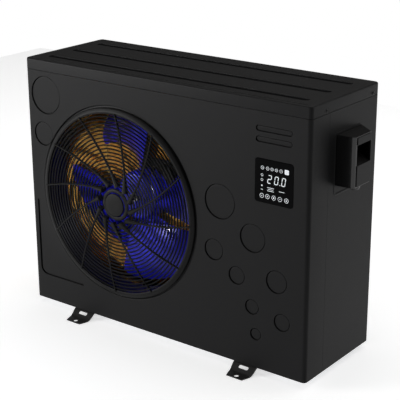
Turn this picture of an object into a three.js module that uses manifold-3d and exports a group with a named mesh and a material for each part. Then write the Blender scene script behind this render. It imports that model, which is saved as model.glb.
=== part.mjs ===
// Pool heat pump in an upright sheet-metal cabinet: front fan guard, finned coil behind the fan,
// compressor and water heat exchanger in the right-hand bay. Millimetres, +Z up, front towards -Y.
import * as THREE from 'three';
import { mergeVertices } from 'three/addons/utils/BufferGeometryUtils.js';
import Module from 'manifold-3d';

const wasm = await Module();
wasm.setup();

// ---------- driving dimensions ----------
const CABINET_W = 900;
const CABINET_D = 306;
const CABINET_H = 690;
const FOOT_H = 20;                 // cabinet floor above the ground
const SHEET = 2;                   // cabinet sheet metal
const GAP = 0.3;                   // clearance between pieces that touch
const CORNER_R = 10;               // upright cabinet corners
const SKIRT_H = 30;                // top cover's folded skirt
const LIP_H = 24;                  // panel flange that stands inside the skirt
const FRONT_RETURN = 79;           // front panel's wings along both sides
const REAR_RETURN = 30;            // side panel's and corner post's wings along the back
const TRAY_H = 28;                 // base pan's upturned rim
const FOOT_X = 272;                // feet, from the middle
const FOOT_REACH = 46;             // foot tip in front of the cabinet
const FOOT_W = 70;
const FOOT_TIP_W = 47;
const FOOT_T = 2.5;
const FAN_X = -138;                // fan axis
const FAN_Z = 359;
const SEAT_R = 262;                // pressed seat around the round opening
const SEAT_DEPTH = 4;
const OPENING_R = 248;
const RIM_R = 258;                 // guard's outer edge
const ROUND_SIDES = 40;            // facets around the opening
const RING_PITCH = 9.5;            // guard's rings
const RING_COUNT = 20;
const RING_FIRST_R = 55.4;
const RING_W = 3;
const SPOKE_COUNT = 12;
const SPOKE_TURN = 28.4;           // first spoke's rim end, degrees
const HUB_CAP_R = 31;
const COLLAR_R = 44;
const FAN_R = 242;
const FAN_HUB_R = 68;
const BLADE_COUNT = 4;
const BLADE_TURN = 76.8;           // first blade's trailing edge, degrees
const BLADE_RISE = 1.5;            // blade depth per degree, mm
const BLADE_T = 3;
const ORIFICE_DEPTH = 60;
const BLADE_SWEEP = [35, 88];      // blade's angle at the hub and at the tip, degrees
const BLADE_CLEAR = 10;            // from the blades' deepest edge to the motor bracket
const MOTOR_R = 58;
const MOTOR_LEN = 70;
const MOTOR_FRONT = 150;           // motor face behind the front panel
const BOSS_CLEAR = 24;             // from the fan's inner boss to the motor face
// The fan sits on the motor's shaft, so its blades are placed from the motor's far end.
const BLADE_FRONT = MOTOR_FRONT + MOTOR_LEN - BLADE_CLEAR - BLADE_T - BLADE_RISE * BLADE_SWEEP[1];
const SHAFT_R = 5.7;
const COIL_T = 38;
const COIL_END_X = 150;
const PARTITION_X = 120;
const DISPLAY_X = 351.3;
const DISPLAY_Z = 512.7;
const DISPLAY_SIZE = 108;
const DISPLAY_R = 8;
const SHROUD_OUT = 50;             // side shroud's reach from the side panel
const SHROUD_Z = [497, 621];
const SHROUD_Y = [-43, 71];        // on the panel
const SHROUD_FACE_Y = [-37, 31];   // on its outer face
const HAND_HOLE_Z = [551, 601];
const FACE_T = 2;
const WATER_X = 360;
const WATER_Z = [120, 340];        // inlet, outlet
const PORT_R = 25;
const BORE_R = 20;
const TAIL_END = 232;              // union tail's end, behind the cabinet's middle
const SHELL_R = 68;                // heat exchanger shell
const SHELL_Y = 45;
const COMPRESSOR = [215, 35];
const COMPRESSOR_R = 62;

const HALF_W = CABINET_W / 2;
const FRONT = -CABINET_D / 2;
const BACK = CABINET_D / 2;
const TOP = FOOT_H + CABINET_H;
const SEAM = TOP - SKIRT_H;
const PAN_TOP = FOOT_H + SHEET + GAP;
const degrees = Math.PI / 180;

// ---------- materials ----------
const finish = (color, roughness, metalness) =>
  new THREE.MeshStandardMaterial({ color, roughness, metalness, flatShading: true });
const paint = () => finish(0x37383a, 0.5, 0.2);
const blackPlastic = () => finish(0x0c0c0d, 0.4, 0);
const guardGrey = () => finish(0x4a4a4a, 0.5, 0);
const steel = () => finish(0x9a9a9a, 0.4, 0.9);
const copper = () => finish(0xb06a3c, 0.35, 0.9);
const brass = () => finish(0xb8923e, 0.35, 0.9);
const whitePlastic = () => finish(0xd8d8d4, 0.5, 0);

// ---------- shape helpers ----------
function solid(geometry) {
  const bare = geometry.clone();
  bare.deleteAttribute('normal');
  bare.deleteAttribute('uv');
  const merged = mergeVertices(bare, 1e-3);
  const corners = merged.index.array;
  const points = merged.attributes.position.array;
  const triangles = [];
  let volume = 0;
  const at = (i) => new THREE.Vector3().fromArray(points, 3 * i);
  for (let i = 0; i < corners.length; i += 3) {
    const [a, b, c] = [corners[i], corners[i + 1], corners[i + 2]];
    if (a === b || b === c || c === a) continue;
    triangles.push(a, b, c);
    volume += at(a).dot(at(b).cross(at(c)));
  }
  if (volume < 0) triangles.reverse();
  const mesh = new wasm.Mesh({
    numProp: 3,
    vertProperties: new Float32Array(points),
    triVerts: new Uint32Array(triangles),
  });
  return new wasm.Manifold(mesh);
}

const asSolid = (shape) => (shape.isBufferGeometry ? solid(shape) : shape);
const join = (first, ...rest) => rest.reduce((sum, s) => sum.add(asSolid(s)), asSolid(first));
const cut = (first, ...rest) => rest.reduce((left, s) => left.subtract(asSolid(s)), asSolid(first));
const overlap = (first, second) => asSolid(first).intersect(asSolid(second));

const unit = new THREE.Group();

function piece(name, shape, material) {
  const mesh = asSolid(shape).getMesh();
  const geometry = new THREE.BufferGeometry();
  geometry.setAttribute('position', new THREE.BufferAttribute(mesh.vertProperties, mesh.numProp));
  geometry.setIndex(new THREE.BufferAttribute(mesh.triVerts, 1));
  geometry.computeVertexNormals();
  const made = new THREE.Mesh(geometry, material);
  made.name = name;
  unit.add(made);
}

function box(x0, x1, y0, y1, z0, z1) {
  const made = new THREE.BoxGeometry(x1 - x0, y1 - y0, z1 - z0);
  return made.translate((x0 + x1) / 2, (y0 + y1) / 2, (z0 + z1) / 2);
}

// cylinder along an axis, through (u, v) in the other two axes, in x, y, z order
function rod(axis, radius, from, to, u, v, sides = 24) {
  const made = new THREE.CylinderGeometry(radius, radius, to - from, sides);
  const middle = (from + to) / 2;
  if (axis === 'x') return made.rotateZ(Math.PI / 2).translate(middle, u, v);
  if (axis === 'z') return made.rotateX(Math.PI / 2).translate(u, v, middle);
  return made.translate(u, middle, v);
}

function extrude(shape, depth, curveSegments) {
  return new THREE.ExtrudeGeometry(shape, { depth, curveSegments, bevelEnabled: false });
}

// shape drawn in x and y, raised from z0 to z1
const extrudeZ = (shape, z0, z1, sides = 4) => extrude(shape, z1 - z0, sides).translate(0, 0, z0);

// shape drawn in x and z, running from y0 back to y1
const extrudeY = (shape, y0, y1, sides = 4) =>
  extrude(shape, y1 - y0, sides).rotateX(Math.PI / 2).translate(0, y1, 0);

// shape drawn in y and z, running from x0 to x1
function extrudeX(shape, x0, x1, sides = 4) {
  const turn = new THREE.Matrix4().makeBasis(
    new THREE.Vector3(0, 1, 0), new THREE.Vector3(0, 0, 1), new THREE.Vector3(1, 0, 0));
  return extrude(shape, x1 - x0, sides).applyMatrix4(turn).translate(x0, 0, 0);
}

function meshFrom(points, index) {
  const made = new THREE.BufferGeometry();
  made.setAttribute('position', new THREE.Float32BufferAttribute(points, 3));
  made.setIndex(index);
  return made;
}

function polygon(points) {
  return new THREE.Shape(points.map(([x, y]) => new THREE.Vector2(x, y)));
}

function roundedRect(x0, x1, y0, y1, r) {
  const s = new THREE.Shape();
  s.absarc(x1 - r, y0 + r, r, -Math.PI / 2, 0, false);
  s.absarc(x1 - r, y1 - r, r, 0, Math.PI / 2, false);
  s.absarc(x0 + r, y1 - r, r, Math.PI / 2, Math.PI, false);
  s.absarc(x0 + r, y0 + r, r, Math.PI, 1.5 * Math.PI, false);
  s.closePath();
  return s;
}

function circle(x, y, r) {
  const s = new THREE.Shape();
  s.absarc(x, y, r, 0, 2 * Math.PI, false);
  return s;
}

// ring or knob turned about the y axis through (x, z); profile points are [radius, y]
function turnedY(profile, x, z, sides = 32) {
  const points = profile.map(([r, y]) => new THREE.Vector2(r, y));
  return new THREE.LatheGeometry(points, sides).translate(x, 0, z);
}

// the same about an upright axis; profile points are [radius, z]
function turnedZ(profile, x, y, sides = 24) {
  const points = profile.map(([r, z]) => new THREE.Vector2(r, z));
  return new THREE.LatheGeometry(points, sides).rotateX(Math.PI / 2).translate(x, y, 0);
}

const closed = (profile) => [...profile, profile[0]];

function pipe(points, radius, steps = 13) {
  const path = new THREE.CatmullRomCurve3(points.map((p) => new THREE.Vector3(...p)), false, 'centripetal');
  return new THREE.ExtrudeGeometry(circle(0, 0, radius), {
    steps, extrudePath: path, curveSegments: 3, bevelEnabled: false,
  });
}

// ---------- cabinet ----------
// plan of the front panel: front wall and both wings, between two depths below the outer face
function frontPlan(outer, inner) {
  const s = new THREE.Shape();
  const end = FRONT + FRONT_RETURN;
  const xo = HALF_W - outer;
  const yo = FRONT + outer;
  const ro = CORNER_R - outer;
  const xi = HALF_W - inner;
  const yi = FRONT + inner;
  const ri = CORNER_R - inner;
  s.moveTo(-xo, end);
  s.absarc(-xo + ro, yo + ro, ro, Math.PI, 1.5 * Math.PI, false);
  s.absarc(xo - ro, yo + ro, ro, -Math.PI / 2, 0, false);
  s.lineTo(xo, end);
  s.lineTo(xi, end);
  s.absarc(xi - ri, yi + ri, ri, 0, -Math.PI / 2, true);
  s.absarc(-xi + ri, yi + ri, ri, -Math.PI / 2, -Math.PI, true);
  s.lineTo(-xi, end);
  s.closePath();
  return s;
}

// plan of a rear corner: a side wall from y = start to the back, and a wing along the back
function cornerPlan(side, start, outer, inner) {
  const s = new THREE.Shape();
  const wing = HALF_W - REAR_RETURN;
  const xo = HALF_W - outer;
  const yo = BACK - outer;
  const ro = CORNER_R - outer;
  const xi = HALF_W - inner;
  const yi = BACK - inner;
  const ri = CORNER_R - inner;
  s.moveTo(xo, start);
  s.absarc(xo - ro, yo - ro, ro, 0, Math.PI / 2, false);
  s.lineTo(wing, yo);
  s.lineTo(wing, yi);
  s.absarc(xi - ri, yi - ri, ri, Math.PI / 2, 0, true);
  s.lineTo(xi, start);
  s.closePath();
  if (side > 0) return s;
  return polygon(s.getPoints(4).map((p) => [-p.x, p.y]));
}

// wall that follows a plan, with a flange stepped in to stand inside the top cover's skirt
function steppedWall(plan) {
  const step = SHEET + GAP;
  return join(
    extrudeZ(plan(0, SHEET), FOOT_H + GAP, SEAM - GAP),
    extrudeZ(plan(0, SHEET + step), SEAM - 15, SEAM - GAP),
    extrudeZ(plan(step, SHEET + step), SEAM - 15, SEAM + LIP_H - GAP));
}

// pressed round dishes on the front: [from the left edge, from the cabinet's foot, radius]
const DISHES = [
  [69, 595, 52], [55, 487, 33], [644, 414, 45], [742, 341, 37], [626, 285, 28.5],
  [695, 233, 24.5], [812, 245, 30.5], [742, 161, 20.5], [830, 143, 23.5], [754, 91, 16.5],
];
const DISH_DEPTH = 1;
const BAR_H = 15;
const BAR_X = [748, 850];
const BAR_Z = [585, 611];
const BAR_PROUD = 1.2;
const GROOVE_W = 7;

const onFrontX = (fromLeft) => fromLeft - HALF_W;
const onFrontZ = (fromFoot) => fromFoot + FOOT_H;

function cornerGroove() {
  const [x, top, bottom, end, r] = [onFrontX(22.8), onFrontZ(296), onFrontZ(77), onFrontX(180), 18];
  const h = GROOVE_W / 2;
  const s = new THREE.Shape();
  s.absarc(x, top - h, h, 0, Math.PI, false);
  s.absarc(x + r, bottom + r, r + h, Math.PI, 1.5 * Math.PI, false);
  s.absarc(end - h, bottom, h, -Math.PI / 2, Math.PI / 2, false);
  s.absarc(x + r, bottom + r, r - h, 1.5 * Math.PI, Math.PI, true);
  s.closePath();
  return extrudeY(s, FRONT - 1, FRONT + 1.2, 6);
}

function frontPanel() {
  const backing = turnedY(closed([
    [OPENING_R, FRONT + SHEET - 0.5], [SEAT_R + 4, FRONT + SHEET - 0.5],
    [SEAT_R + 4, FRONT + SEAT_DEPTH + SHEET], [OPENING_R, FRONT + SEAT_DEPTH + SHEET],
  ]), FAN_X, FAN_Z, ROUND_SIDES);
  const bars = BAR_Z.map((z) => extrudeY(roundedRect(
    onFrontX(BAR_X[0]), onFrontX(BAR_X[1]), onFrontZ(z), onFrontZ(z + BAR_H), BAR_H / 2 - 0.1),
  FRONT - BAR_PROUD, FRONT + 1));
  const dishes = DISHES.map(([x, z, r]) =>
    rod('y', r, FRONT - 1, FRONT + DISH_DEPTH, onFrontX(x), onFrontZ(z), 18));
  const half = DISPLAY_SIZE / 2 + GAP;
  const window = extrudeY(roundedRect(DISPLAY_X - half, DISPLAY_X + half,
    DISPLAY_Z - half, DISPLAY_Z + half, DISPLAY_R + GAP), FRONT - 5, FRONT + 5);
  return cut(
    join(steppedWall(frontPlan), backing, ...bars),
    rod('y', OPENING_R, FRONT - 5, FRONT + 20, FAN_X, FAN_Z, ROUND_SIDES),
    rod('y', SEAT_R, FRONT - 5, FRONT + SEAT_DEPTH, FAN_X, FAN_Z, ROUND_SIDES),
    ...dishes, window, cornerGroove(), ...coverScrewHoles());
}

// cover screws: through the skirt and the panels' flanges, on both sides
const SCREW_Z = SEAM + 7;
const SCREW_Y = [FRONT + 65, BACK - 30];
const SCREW_R = 2;
const SCREW_HEAD_R = 4.5;
const screwPlaces = [1, -1].flatMap((side) => SCREW_Y.map((y) => [side, y]));

function coverScrewHoles() {
  return screwPlaces.map(([side, y]) => {
    const ends = [side * (HALF_W - 12), side * (HALF_W + 5)].sort((a, b) => a - b);
    return rod('x', SCREW_R + GAP, ...ends, y, SCREW_Z, 8);
  });
}

function coverScrew(side, y) {
  const at = (x) => side * (HALF_W + x);
  const ends = (a, b) => [at(a), at(b)].sort((p, q) => p - q);
  const head = rod('x', SCREW_HEAD_R, ...ends(GAP, 2.8), y, SCREW_Z, 12);
  const shank = rod('x', SCREW_R, ...ends(-11, 1), y, SCREW_Z, 8);
  const slot = box(...ends(1.8, 4), y - 3, y + 3, SCREW_Z - 0.6, SCREW_Z + 0.6);
  return cut(join(head, shank), slot);
}

function topCover() {
  const top = 2.5;
  const inset = SHEET;
  const channels = [52, 146, 246].map((y) => extrudeZ(roundedRect(
    onFrontX(36), onFrontX(864), FRONT + y - 14, FRONT + y + 14, 13.9), TOP - 1.3, TOP + 1, 4));
  return cut(
    extrudeZ(roundedRect(-HALF_W, HALF_W, FRONT, BACK, CORNER_R), SEAM, TOP),
    extrudeZ(roundedRect(-HALF_W + inset, HALF_W - inset, FRONT + inset, BACK - inset,
      CORNER_R - inset), SEAM - 1, TOP - top),
    ...channels, ...coverScrewHoles());
}

function basePan() {
  const inset = SHEET + GAP;
  const rim = (more, z0, z1) => extrudeZ(roundedRect(-HALF_W + inset + more, HALF_W - inset - more,
    FRONT + inset + more, BACK - inset - more, CORNER_R - inset - more), z0, z1, 2);
  return cut(rim(0, FOOT_H, FOOT_H + TRAY_H), rim(SHEET, FOOT_H + SHEET, FOOT_H + TRAY_H + 1),
    rod('z', DRAIN_R + GAP, FOOT_H - 1, FOOT_H + 5, ...DRAIN_AT, 16));
}

const DRAIN_AT = [20, 60];
const DRAIN_R = 10;

function drainSpout() {
  return turnedZ(closed([
    [7, 4], [9, 4], [9, 15], [14, 16], [14, FOOT_H - GAP], [DRAIN_R, FOOT_H - GAP],
    [DRAIN_R, FOOT_H + SHEET], [7, FOOT_H + SHEET],
  ]), ...DRAIN_AT, 12);
}

function footRail(x) {
  const tip = FRONT - FOOT_REACH;
  const flat = 24;
  const under = FOOT_H - GAP;
  const rise = [
    [tip, 0], [tip + flat, 0], [FRONT + 10, under - FOOT_T], [0, under - FOOT_T],
  ];
  const fall = [[0, under], [FRONT + 9, under], [tip + flat - 1, FOOT_T], [tip, FOOT_T]];
  const mirrored = (points) => points.map(([y, z]) => [-y, z]).reverse();
  const side = polygon([...rise.slice(0, 3), ...mirrored(rise.slice(0, 3)),
    ...mirrored(fall.slice(1)), ...fall.slice(1)]);
  const [w, t] = [FOOT_W / 2, FOOT_TIP_W / 2];
  const plan = polygon([
    [x - t, tip], [x + t, tip], [x + w, FRONT + 6], [x + w, BACK - 6],
    [x + t, -tip], [x - t, -tip], [x - w, BACK - 6], [x - w, FRONT + 6],
  ]);
  const strip = overlap(extrudeX(side, x - w, x + w), extrudeZ(plan, -1, FOOT_H));
  const holes = [1, -1].flatMap((end) => [
    rod('z', 6.5, -1, FOOT_H, x, end * (tip + 11), 16),
    box(x - 14, x + 14, end * (FRONT - 4) - 4, end * (FRONT - 4) + 4, -1, FOOT_H + 1),
  ]);
  return cut(strip, ...holes);
}

// rows of wide slots through a coil guard; hole(u0, u1, z0, z1) makes one of them
function coilSlots(u0, u1, columns, rows, hole) {
  const [edge, bar, bottom] = [14, 9, FOOT_H + 36];
  const w = (u1 - u0 - 2 * edge + bar) / columns;
  const h = (SEAM - 22 - bottom + bar) / rows;
  const places = Array.from({ length: columns * rows }, (_, i) =>
    [u0 + edge + (i % columns) * w, bottom + Math.floor(i / columns) * h]);
  return places.map(([u, z]) => hole(u, u + w - bar, z, z + h - bar));
}

function leftCoilGuard() {
  const [y0, y1] = [FRONT + FRONT_RETURN + 2 * GAP, BACK - 44 - GAP];
  return cut(box(-HALF_W, -HALF_W + SHEET, y0, y1, FOOT_H + GAP, SEAM - GAP),
    ...coilSlots(y0, y1, 1, 10, (a, b, z0, z1) => box(-HALF_W - 5, -HALF_W + 5, a, b, z0, z1)));
}

function rearCoilGuard() {
  const [x0, x1] = [-HALF_W + REAR_RETURN + GAP, PARTITION_X - GAP];
  return cut(box(x0, x1, BACK - SHEET, BACK, FOOT_H + GAP, SEAM - GAP),
    ...coilSlots(x0, x1, 2, 10, (a, b, z0, z1) => box(a, b, BACK - 5, BACK + 5, z0, z1)));
}

function rearPanel() {
  const sheet = box(PARTITION_X, HALF_W - REAR_RETURN - GAP, BACK - SHEET, BACK,
    FOOT_H + GAP, SEAM - GAP);
  return cut(sheet, ...WATER_Z.map((z) =>
    rod('y', PORT_R + 2, BACK - 9, BACK + 9, WATER_X, z, 24)));
}

function rightSidePanel() {
  const wiring = box(HALF_W - 9, HALF_W + 9, 0, 40, 530, 590);
  const plan = (o, i) => cornerPlan(1, FRONT + FRONT_RETURN + 2 * GAP, o, i);
  return cut(steppedWall(plan), wiring, ...coverScrewHoles());
}

function rearCornerPost() {
  const plan = (o, i) => cornerPlan(-1, BACK - 44, o, i);
  return cut(steppedWall(plan), ...coverScrewHoles());
}

// ---------- fan guard ----------
// spokes leave the hub along its tangent and straighten out towards the rim
function spokeAngle(radius) {
  const [start, reach, offset] = [45, 246, 33.5];
  let [low, high] = [0, 1];
  const point = (s) => [start + (reach - start) * s, -offset * (1 - s * s)];
  for (let i = 0; i < 30; i += 1) {
    const middle = (low + high) / 2;
    if (Math.hypot(...point(middle)) < radius) low = middle;
    else high = middle;
  }
  const [x, y] = point(low);
  return Math.atan2(y, x);
}

// flat lattice of rings and spokes, one closed body: cells between stations are solid on every
// ring and on every spoke, and open elsewhere
function guardLattice(y0, y1) {
  const radii = [COLLAR_R - 1, COLLAR_R + 2];
  for (let i = 0; i < RING_COUNT; i += 1) {
    const r = RING_FIRST_R + i * RING_PITCH;
    radii.push(r - RING_W / 2, r + RING_W / 2);
  }
  radii.push(243, 246);
  const half = (r) => THREE.MathUtils.mapLinear(r, COLLAR_R, 246, 5.2, 2) / r;
  const pitch = 2 * Math.PI / SPOKE_COUNT;
  const [perSpoke, across] = [3, 3 * SPOKE_COUNT];
  const points = [];
  for (const y of [y0, y1]) {
    for (const r of radii) {
      for (let j = 0; j < across; j += 1) {
        const spoke = SPOKE_TURN * degrees + Math.floor(j / perSpoke) * pitch + spokeAngle(r);
        const a = spoke + [-half(r), half(r), pitch / 2][j % perSpoke];
        points.push(FAN_X + r * Math.cos(a), y, FAN_Z + r * Math.sin(a));
      }
    }
  }
  const id = (k, i, j) => (k * radii.length + i) * across + (j % across);
  const index = [];
  const quad = (a, b, c, d) => index.push(a, b, c, a, c, d);
  for (let i = 0; i < radii.length - 1; i += 1) {
    const band = i % 2 === 0;
    const whole = radii[i] < 110;      // small rings run straight from spoke to spoke
    for (let j = 0; j < across; j += 1) {
      const onSpoke = j % perSpoke === 0;
      if (!band && !onSpoke) continue;
      if (whole && j % perSpoke === 2) continue;
      const n = whole && !onSpoke ? j + 2 : j + 1;
      quad(id(0, i, j), id(0, i + 1, j), id(0, i + 1, n), id(0, i, n));
      quad(id(1, i, j), id(1, i, n), id(1, i + 1, n), id(1, i + 1, j));
      if (band && (!onSpoke || i === 0)) quad(id(0, i, j), id(0, i, n), id(1, i, n), id(1, i, j));
      if (band && (!onSpoke || i === radii.length - 2)) {
        quad(id(0, i + 1, j), id(1, i + 1, j), id(1, i + 1, n), id(0, i + 1, n));
      }
      if (!band) {
        quad(id(0, i, j), id(1, i, j), id(1, i + 1, j), id(0, i + 1, j));
        quad(id(0, i, n), id(0, i + 1, n), id(1, i + 1, n), id(1, i, n));
      }
    }
  }
  return meshFrom(points, index);
}

function fanGuard() {
  const rim = turnedY(closed([
    [RIM_R, FRONT + SEAT_DEPTH - GAP], [RIM_R, FRONT - 1], [249, FRONT - 8.5], [243, FRONT - 8.5],
    [243, FRONT - 4.5], [250, FRONT + SEAT_DEPTH - GAP],
  ]), FAN_X, FAN_Z, ROUND_SIDES);
  const collar = turnedY(closed([
    [HUB_CAP_R + 2.5, FRONT - 6], [COLLAR_R, FRONT - 6], [COLLAR_R - 1.5, FRONT - 11],
    [HUB_CAP_R + 2.5, FRONT - 11],
  ]), FAN_X, FAN_Z, 24);
  return join(guardLattice(FRONT - 8, FRONT - 5), rim, collar);
}

function guardCap() {
  return turnedY([
    [0, FRONT - 8 - GAP], [HUB_CAP_R, FRONT - 8 - GAP], [HUB_CAP_R, FRONT - 11.5],
    [HUB_CAP_R - 2, FRONT - 13], [0, FRONT - 13],
  ], FAN_X, FAN_Z, 24);
}

function fanOrifice() {
  const start = FRONT + SEAT_DEPTH + SHEET + GAP;
  const end = start + ORIFICE_DEPTH;
  return turnedY(closed([
    [OPENING_R, start], [OPENING_R + 8, start], [OPENING_R + 8, start + 2.5], [OPENING_R + 3, start + 5],
    [OPENING_R + 2.5, end], [OPENING_R, end],
  ]), FAN_X, FAN_Z, ROUND_SIDES);
}

// ---------- fan and motor ----------
// leading edge ahead of the trailing edge, in degrees, at a radius
const bladeSweep = (r) => THREE.MathUtils.mapLinear(r, FAN_HUB_R, FAN_R, ...BLADE_SWEEP);

function bladeGeometry(turn) {
  const [across, along] = [4, 5];
  const root = FAN_HUB_R - 5;
  const points = [];
  for (const offset of [0, BLADE_T]) {
    for (let i = 0; i <= across; i += 1) {
      const r = root + (FAN_R - root) * (i / across);
      for (let j = 0; j <= along; j += 1) {
        const sweep = bladeSweep(r) * (j / along);
        const a = (turn + sweep) * degrees;
        const y = FRONT + BLADE_FRONT + BLADE_RISE * sweep + offset;
        points.push(FAN_X + r * Math.cos(a), y, FAN_Z + r * Math.sin(a));
      }
    }
  }
  const index = [];
  const layer = (across + 1) * (along + 1);
  const id = (k, i, j) => k * layer + i * (along + 1) + j;
  const quad = (a, b, c, d) => index.push(a, b, c, a, c, d);
  for (let i = 0; i < across; i += 1) {
    for (let j = 0; j < along; j += 1) {
      quad(id(0, i, j), id(0, i + 1, j), id(0, i + 1, j + 1), id(0, i, j + 1));
      quad(id(1, i, j), id(1, i, j + 1), id(1, i + 1, j + 1), id(1, i + 1, j));
    }
    quad(id(0, i, 0), id(1, i, 0), id(1, i + 1, 0), id(0, i + 1, 0));
    quad(id(0, i + 1, along), id(1, i + 1, along), id(1, i, along), id(0, i, along));
  }
  for (let j = 0; j < along; j += 1) {
    quad(id(0, 0, j + 1), id(1, 0, j + 1), id(1, 0, j), id(0, 0, j));
    quad(id(0, across, j), id(1, across, j), id(1, across, j + 1), id(0, across, j + 1));
  }
  return meshFrom(points, index);
}

function fan() {
  const face = FRONT + BLADE_FRONT + 3;
  const boss = FRONT + MOTOR_FRONT - BOSS_CLEAR;
  const hub = turnedY(closed([
    [SHAFT_R + GAP, face], [FAN_HUB_R - 14, face], [FAN_HUB_R - 4, face + 4], [FAN_HUB_R, face + 14],
    [FAN_HUB_R, face + 58], [FAN_HUB_R - 4, face + 58], [FAN_HUB_R - 4, face + 16],
    [FAN_HUB_R - 12, face + 7], [16, face + 7], [16, boss], [SHAFT_R + GAP, boss],
  ]), FAN_X, FAN_Z, 24);
  const blades = Array.from({ length: BLADE_COUNT }, (_, i) =>
    bladeGeometry(BLADE_TURN + i * 360 / BLADE_COUNT));
  const shell = rod('y', FAN_HUB_R - 2, FRONT, BACK, FAN_X, FAN_Z, 24);
  const trimmed = blades.map((b) => cut(b, shell));
  return join(hub, ...trimmed);
}

function fanNut() {
  const face = FRONT + BLADE_FRONT + 3 - GAP;
  return cut(rod('y', 13, face - 9, face, FAN_X, FAN_Z, 6),
    rod('y', SHAFT_R + GAP, face - 20, face + 20, FAN_X, FAN_Z, 16));
}

function fanMotor() {
  const f = FRONT + MOTOR_FRONT;
  return turnedY(closed([
    [SHAFT_R + 1, f - 5], [22, f - 5], [22, f], [MOTOR_R - 4, f + 2], [MOTOR_R, f + 8],
    [MOTOR_R, f + MOTOR_LEN - 8], [MOTOR_R - 6, f + MOTOR_LEN], [0, f + MOTOR_LEN],
    [0, f + 45], [SHAFT_R + 1, f + 45],
  ]), FAN_X, FAN_Z, 18);
}

function motorBracket() {
  const y = FRONT + MOTOR_FRONT + MOTOR_LEN + GAP;
  const [w, low, high] = [105, PAN_TOP, TOP - 2.5 - GAP];
  const sheet = polygon([[FAN_X - w, low], [FAN_X + w, low], [FAN_X + w, high], [FAN_X - w, high]]);
  const [inner, reach] = [w - 28, 62];
  for (const [z0, z1] of [[low + 25, FAN_Z - reach], [FAN_Z + reach, high - 25]]) {
    const hole = [[FAN_X - inner, z0], [FAN_X + inner, z0], [FAN_X + inner, z1], [FAN_X - inner, z1]];
    sheet.holes.push(new THREE.Path(hole.map((p) => new THREE.Vector2(...p))));
  }
  return extrudeY(sheet, y, y + 3);
}

// ---------- evaporator ----------
const COIL_Z = [26, TOP - 6];
const COIL_BACK = BACK - 10;
const COIL_LEFT = -HALF_W + 10;
const COIL_START = -70;

function coilBlock() {
  const bend = 60;
  const [x, y] = [COIL_LEFT, COIL_BACK];
  const s = new THREE.Shape();
  s.moveTo(x, COIL_START);
  s.absarc(x + bend, y - bend, bend, Math.PI, Math.PI / 2, true);
  s.lineTo(COIL_END_X, y);
  s.lineTo(COIL_END_X, y - COIL_T);
  s.absarc(x + bend, y - bend, bend - COIL_T, Math.PI / 2, Math.PI, false);
  s.lineTo(x + COIL_T, COIL_START);
  s.closePath();
  return extrudeZ(s, ...COIL_Z, 5);
}

const HEADER_X = COIL_END_X + 26;
const HEADER_Y = COIL_BACK - COIL_T / 2;

function coilHeader() {
  const stubs = [110, 230, 350, 470, 590].map((z) =>
    rod('x', 4.5, COIL_END_X + 2 + 2 * GAP, HEADER_X, HEADER_Y, z, 8));
  return join(rod('z', 9, 90, 610, HEADER_X, HEADER_Y, 12), ...stubs);
}

// ---------- compressor bay ----------
const COMPRESSOR_STUB = [230, 48, 324];
const FEET_ANGLES = [90, 210, 330];
const FEET_REACH = 80;
const FEET_Z = 40;
const feetPlaces = FEET_ANGLES.map((a) => [
  COMPRESSOR[0] + FEET_REACH * Math.cos(a * degrees),
  COMPRESSOR[1] + FEET_REACH * Math.sin(a * degrees)]);

function compressor() {
  const r = COMPRESSOR_R;
  const shell = turnedZ([
    [0, FEET_Z], [r - 12, FEET_Z], [r, FEET_Z + 12], [r, 290], [r - 8, 304], [r - 26, 313], [0, 317],
  ], ...COMPRESSOR, 20);
  const lugs = feetPlaces.map(([x, y]) => rod('z', 14, FEET_Z, FEET_Z + 4, x, y, 12));
  const arms = feetPlaces.map(([x, y]) => {
    const arm = new THREE.BoxGeometry(FEET_REACH, 24, 4).translate(FEET_REACH / 2, 0, FEET_Z + 2);
    arm.rotateZ(Math.atan2(y - COMPRESSOR[1], x - COMPRESSOR[0]));
    return arm.translate(...COMPRESSOR, 0);
  });
  const stub = rod('z', 8, 300, COMPRESSOR_STUB[2], ...COMPRESSOR_STUB.slice(0, 2), 12);
  return join(shell, stub, ...lugs, ...arms);
}

function grommet([x, y]) {
  return turnedZ([
    [0, PAN_TOP], [12, PAN_TOP], [12, 28], [9, 31], [12, 34], [12, FEET_Z - GAP], [0, FEET_Z - GAP],
  ], x, y, 12);
}

const ACCUMULATOR = [215, -72];

function accumulator() {
  return turnedZ([
    [0, 92], [16, 92], [28, 104], [28, 272], [16, 284], [7, 287], [7, 292], [0, 292],
  ], ...ACCUMULATOR, 16);
}

const VALVE = { x: [170, 270], y: 35, z: 402, r: 14, ports: [185, 220, 255] };

function fourWayValve() {
  const below = VALVE.ports.map((x) => rod('z', 6, VALVE.z - 24, VALVE.z, x, VALVE.y, 12));
  const above = rod('z', 6, VALVE.z, VALVE.z + 24, VALVE.ports[1], VALVE.y, 12);
  const pilot = box(VALVE.x[0] + 22, VALVE.x[1] - 22, VALVE.y - 30, VALVE.y - 10,
    VALVE.z - 8, VALVE.z + 12);
  return join(rod('x', VALVE.r, ...VALVE.x, VALVE.y, VALVE.z, 16), ...below, above, pilot);
}

function expansionValve() {
  const [x, y] = [300, -95];
  return join(
    turnedZ([[0, 180], [11, 180], [11, 222], [20, 224], [20, 256], [10, 260], [0, 260]], x, y, 16),
    rod('x', 5.5, x - 26, x, y, 200, 12), rod('x', 5.5, x, x + 26, y, 200, 12));
}

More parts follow.
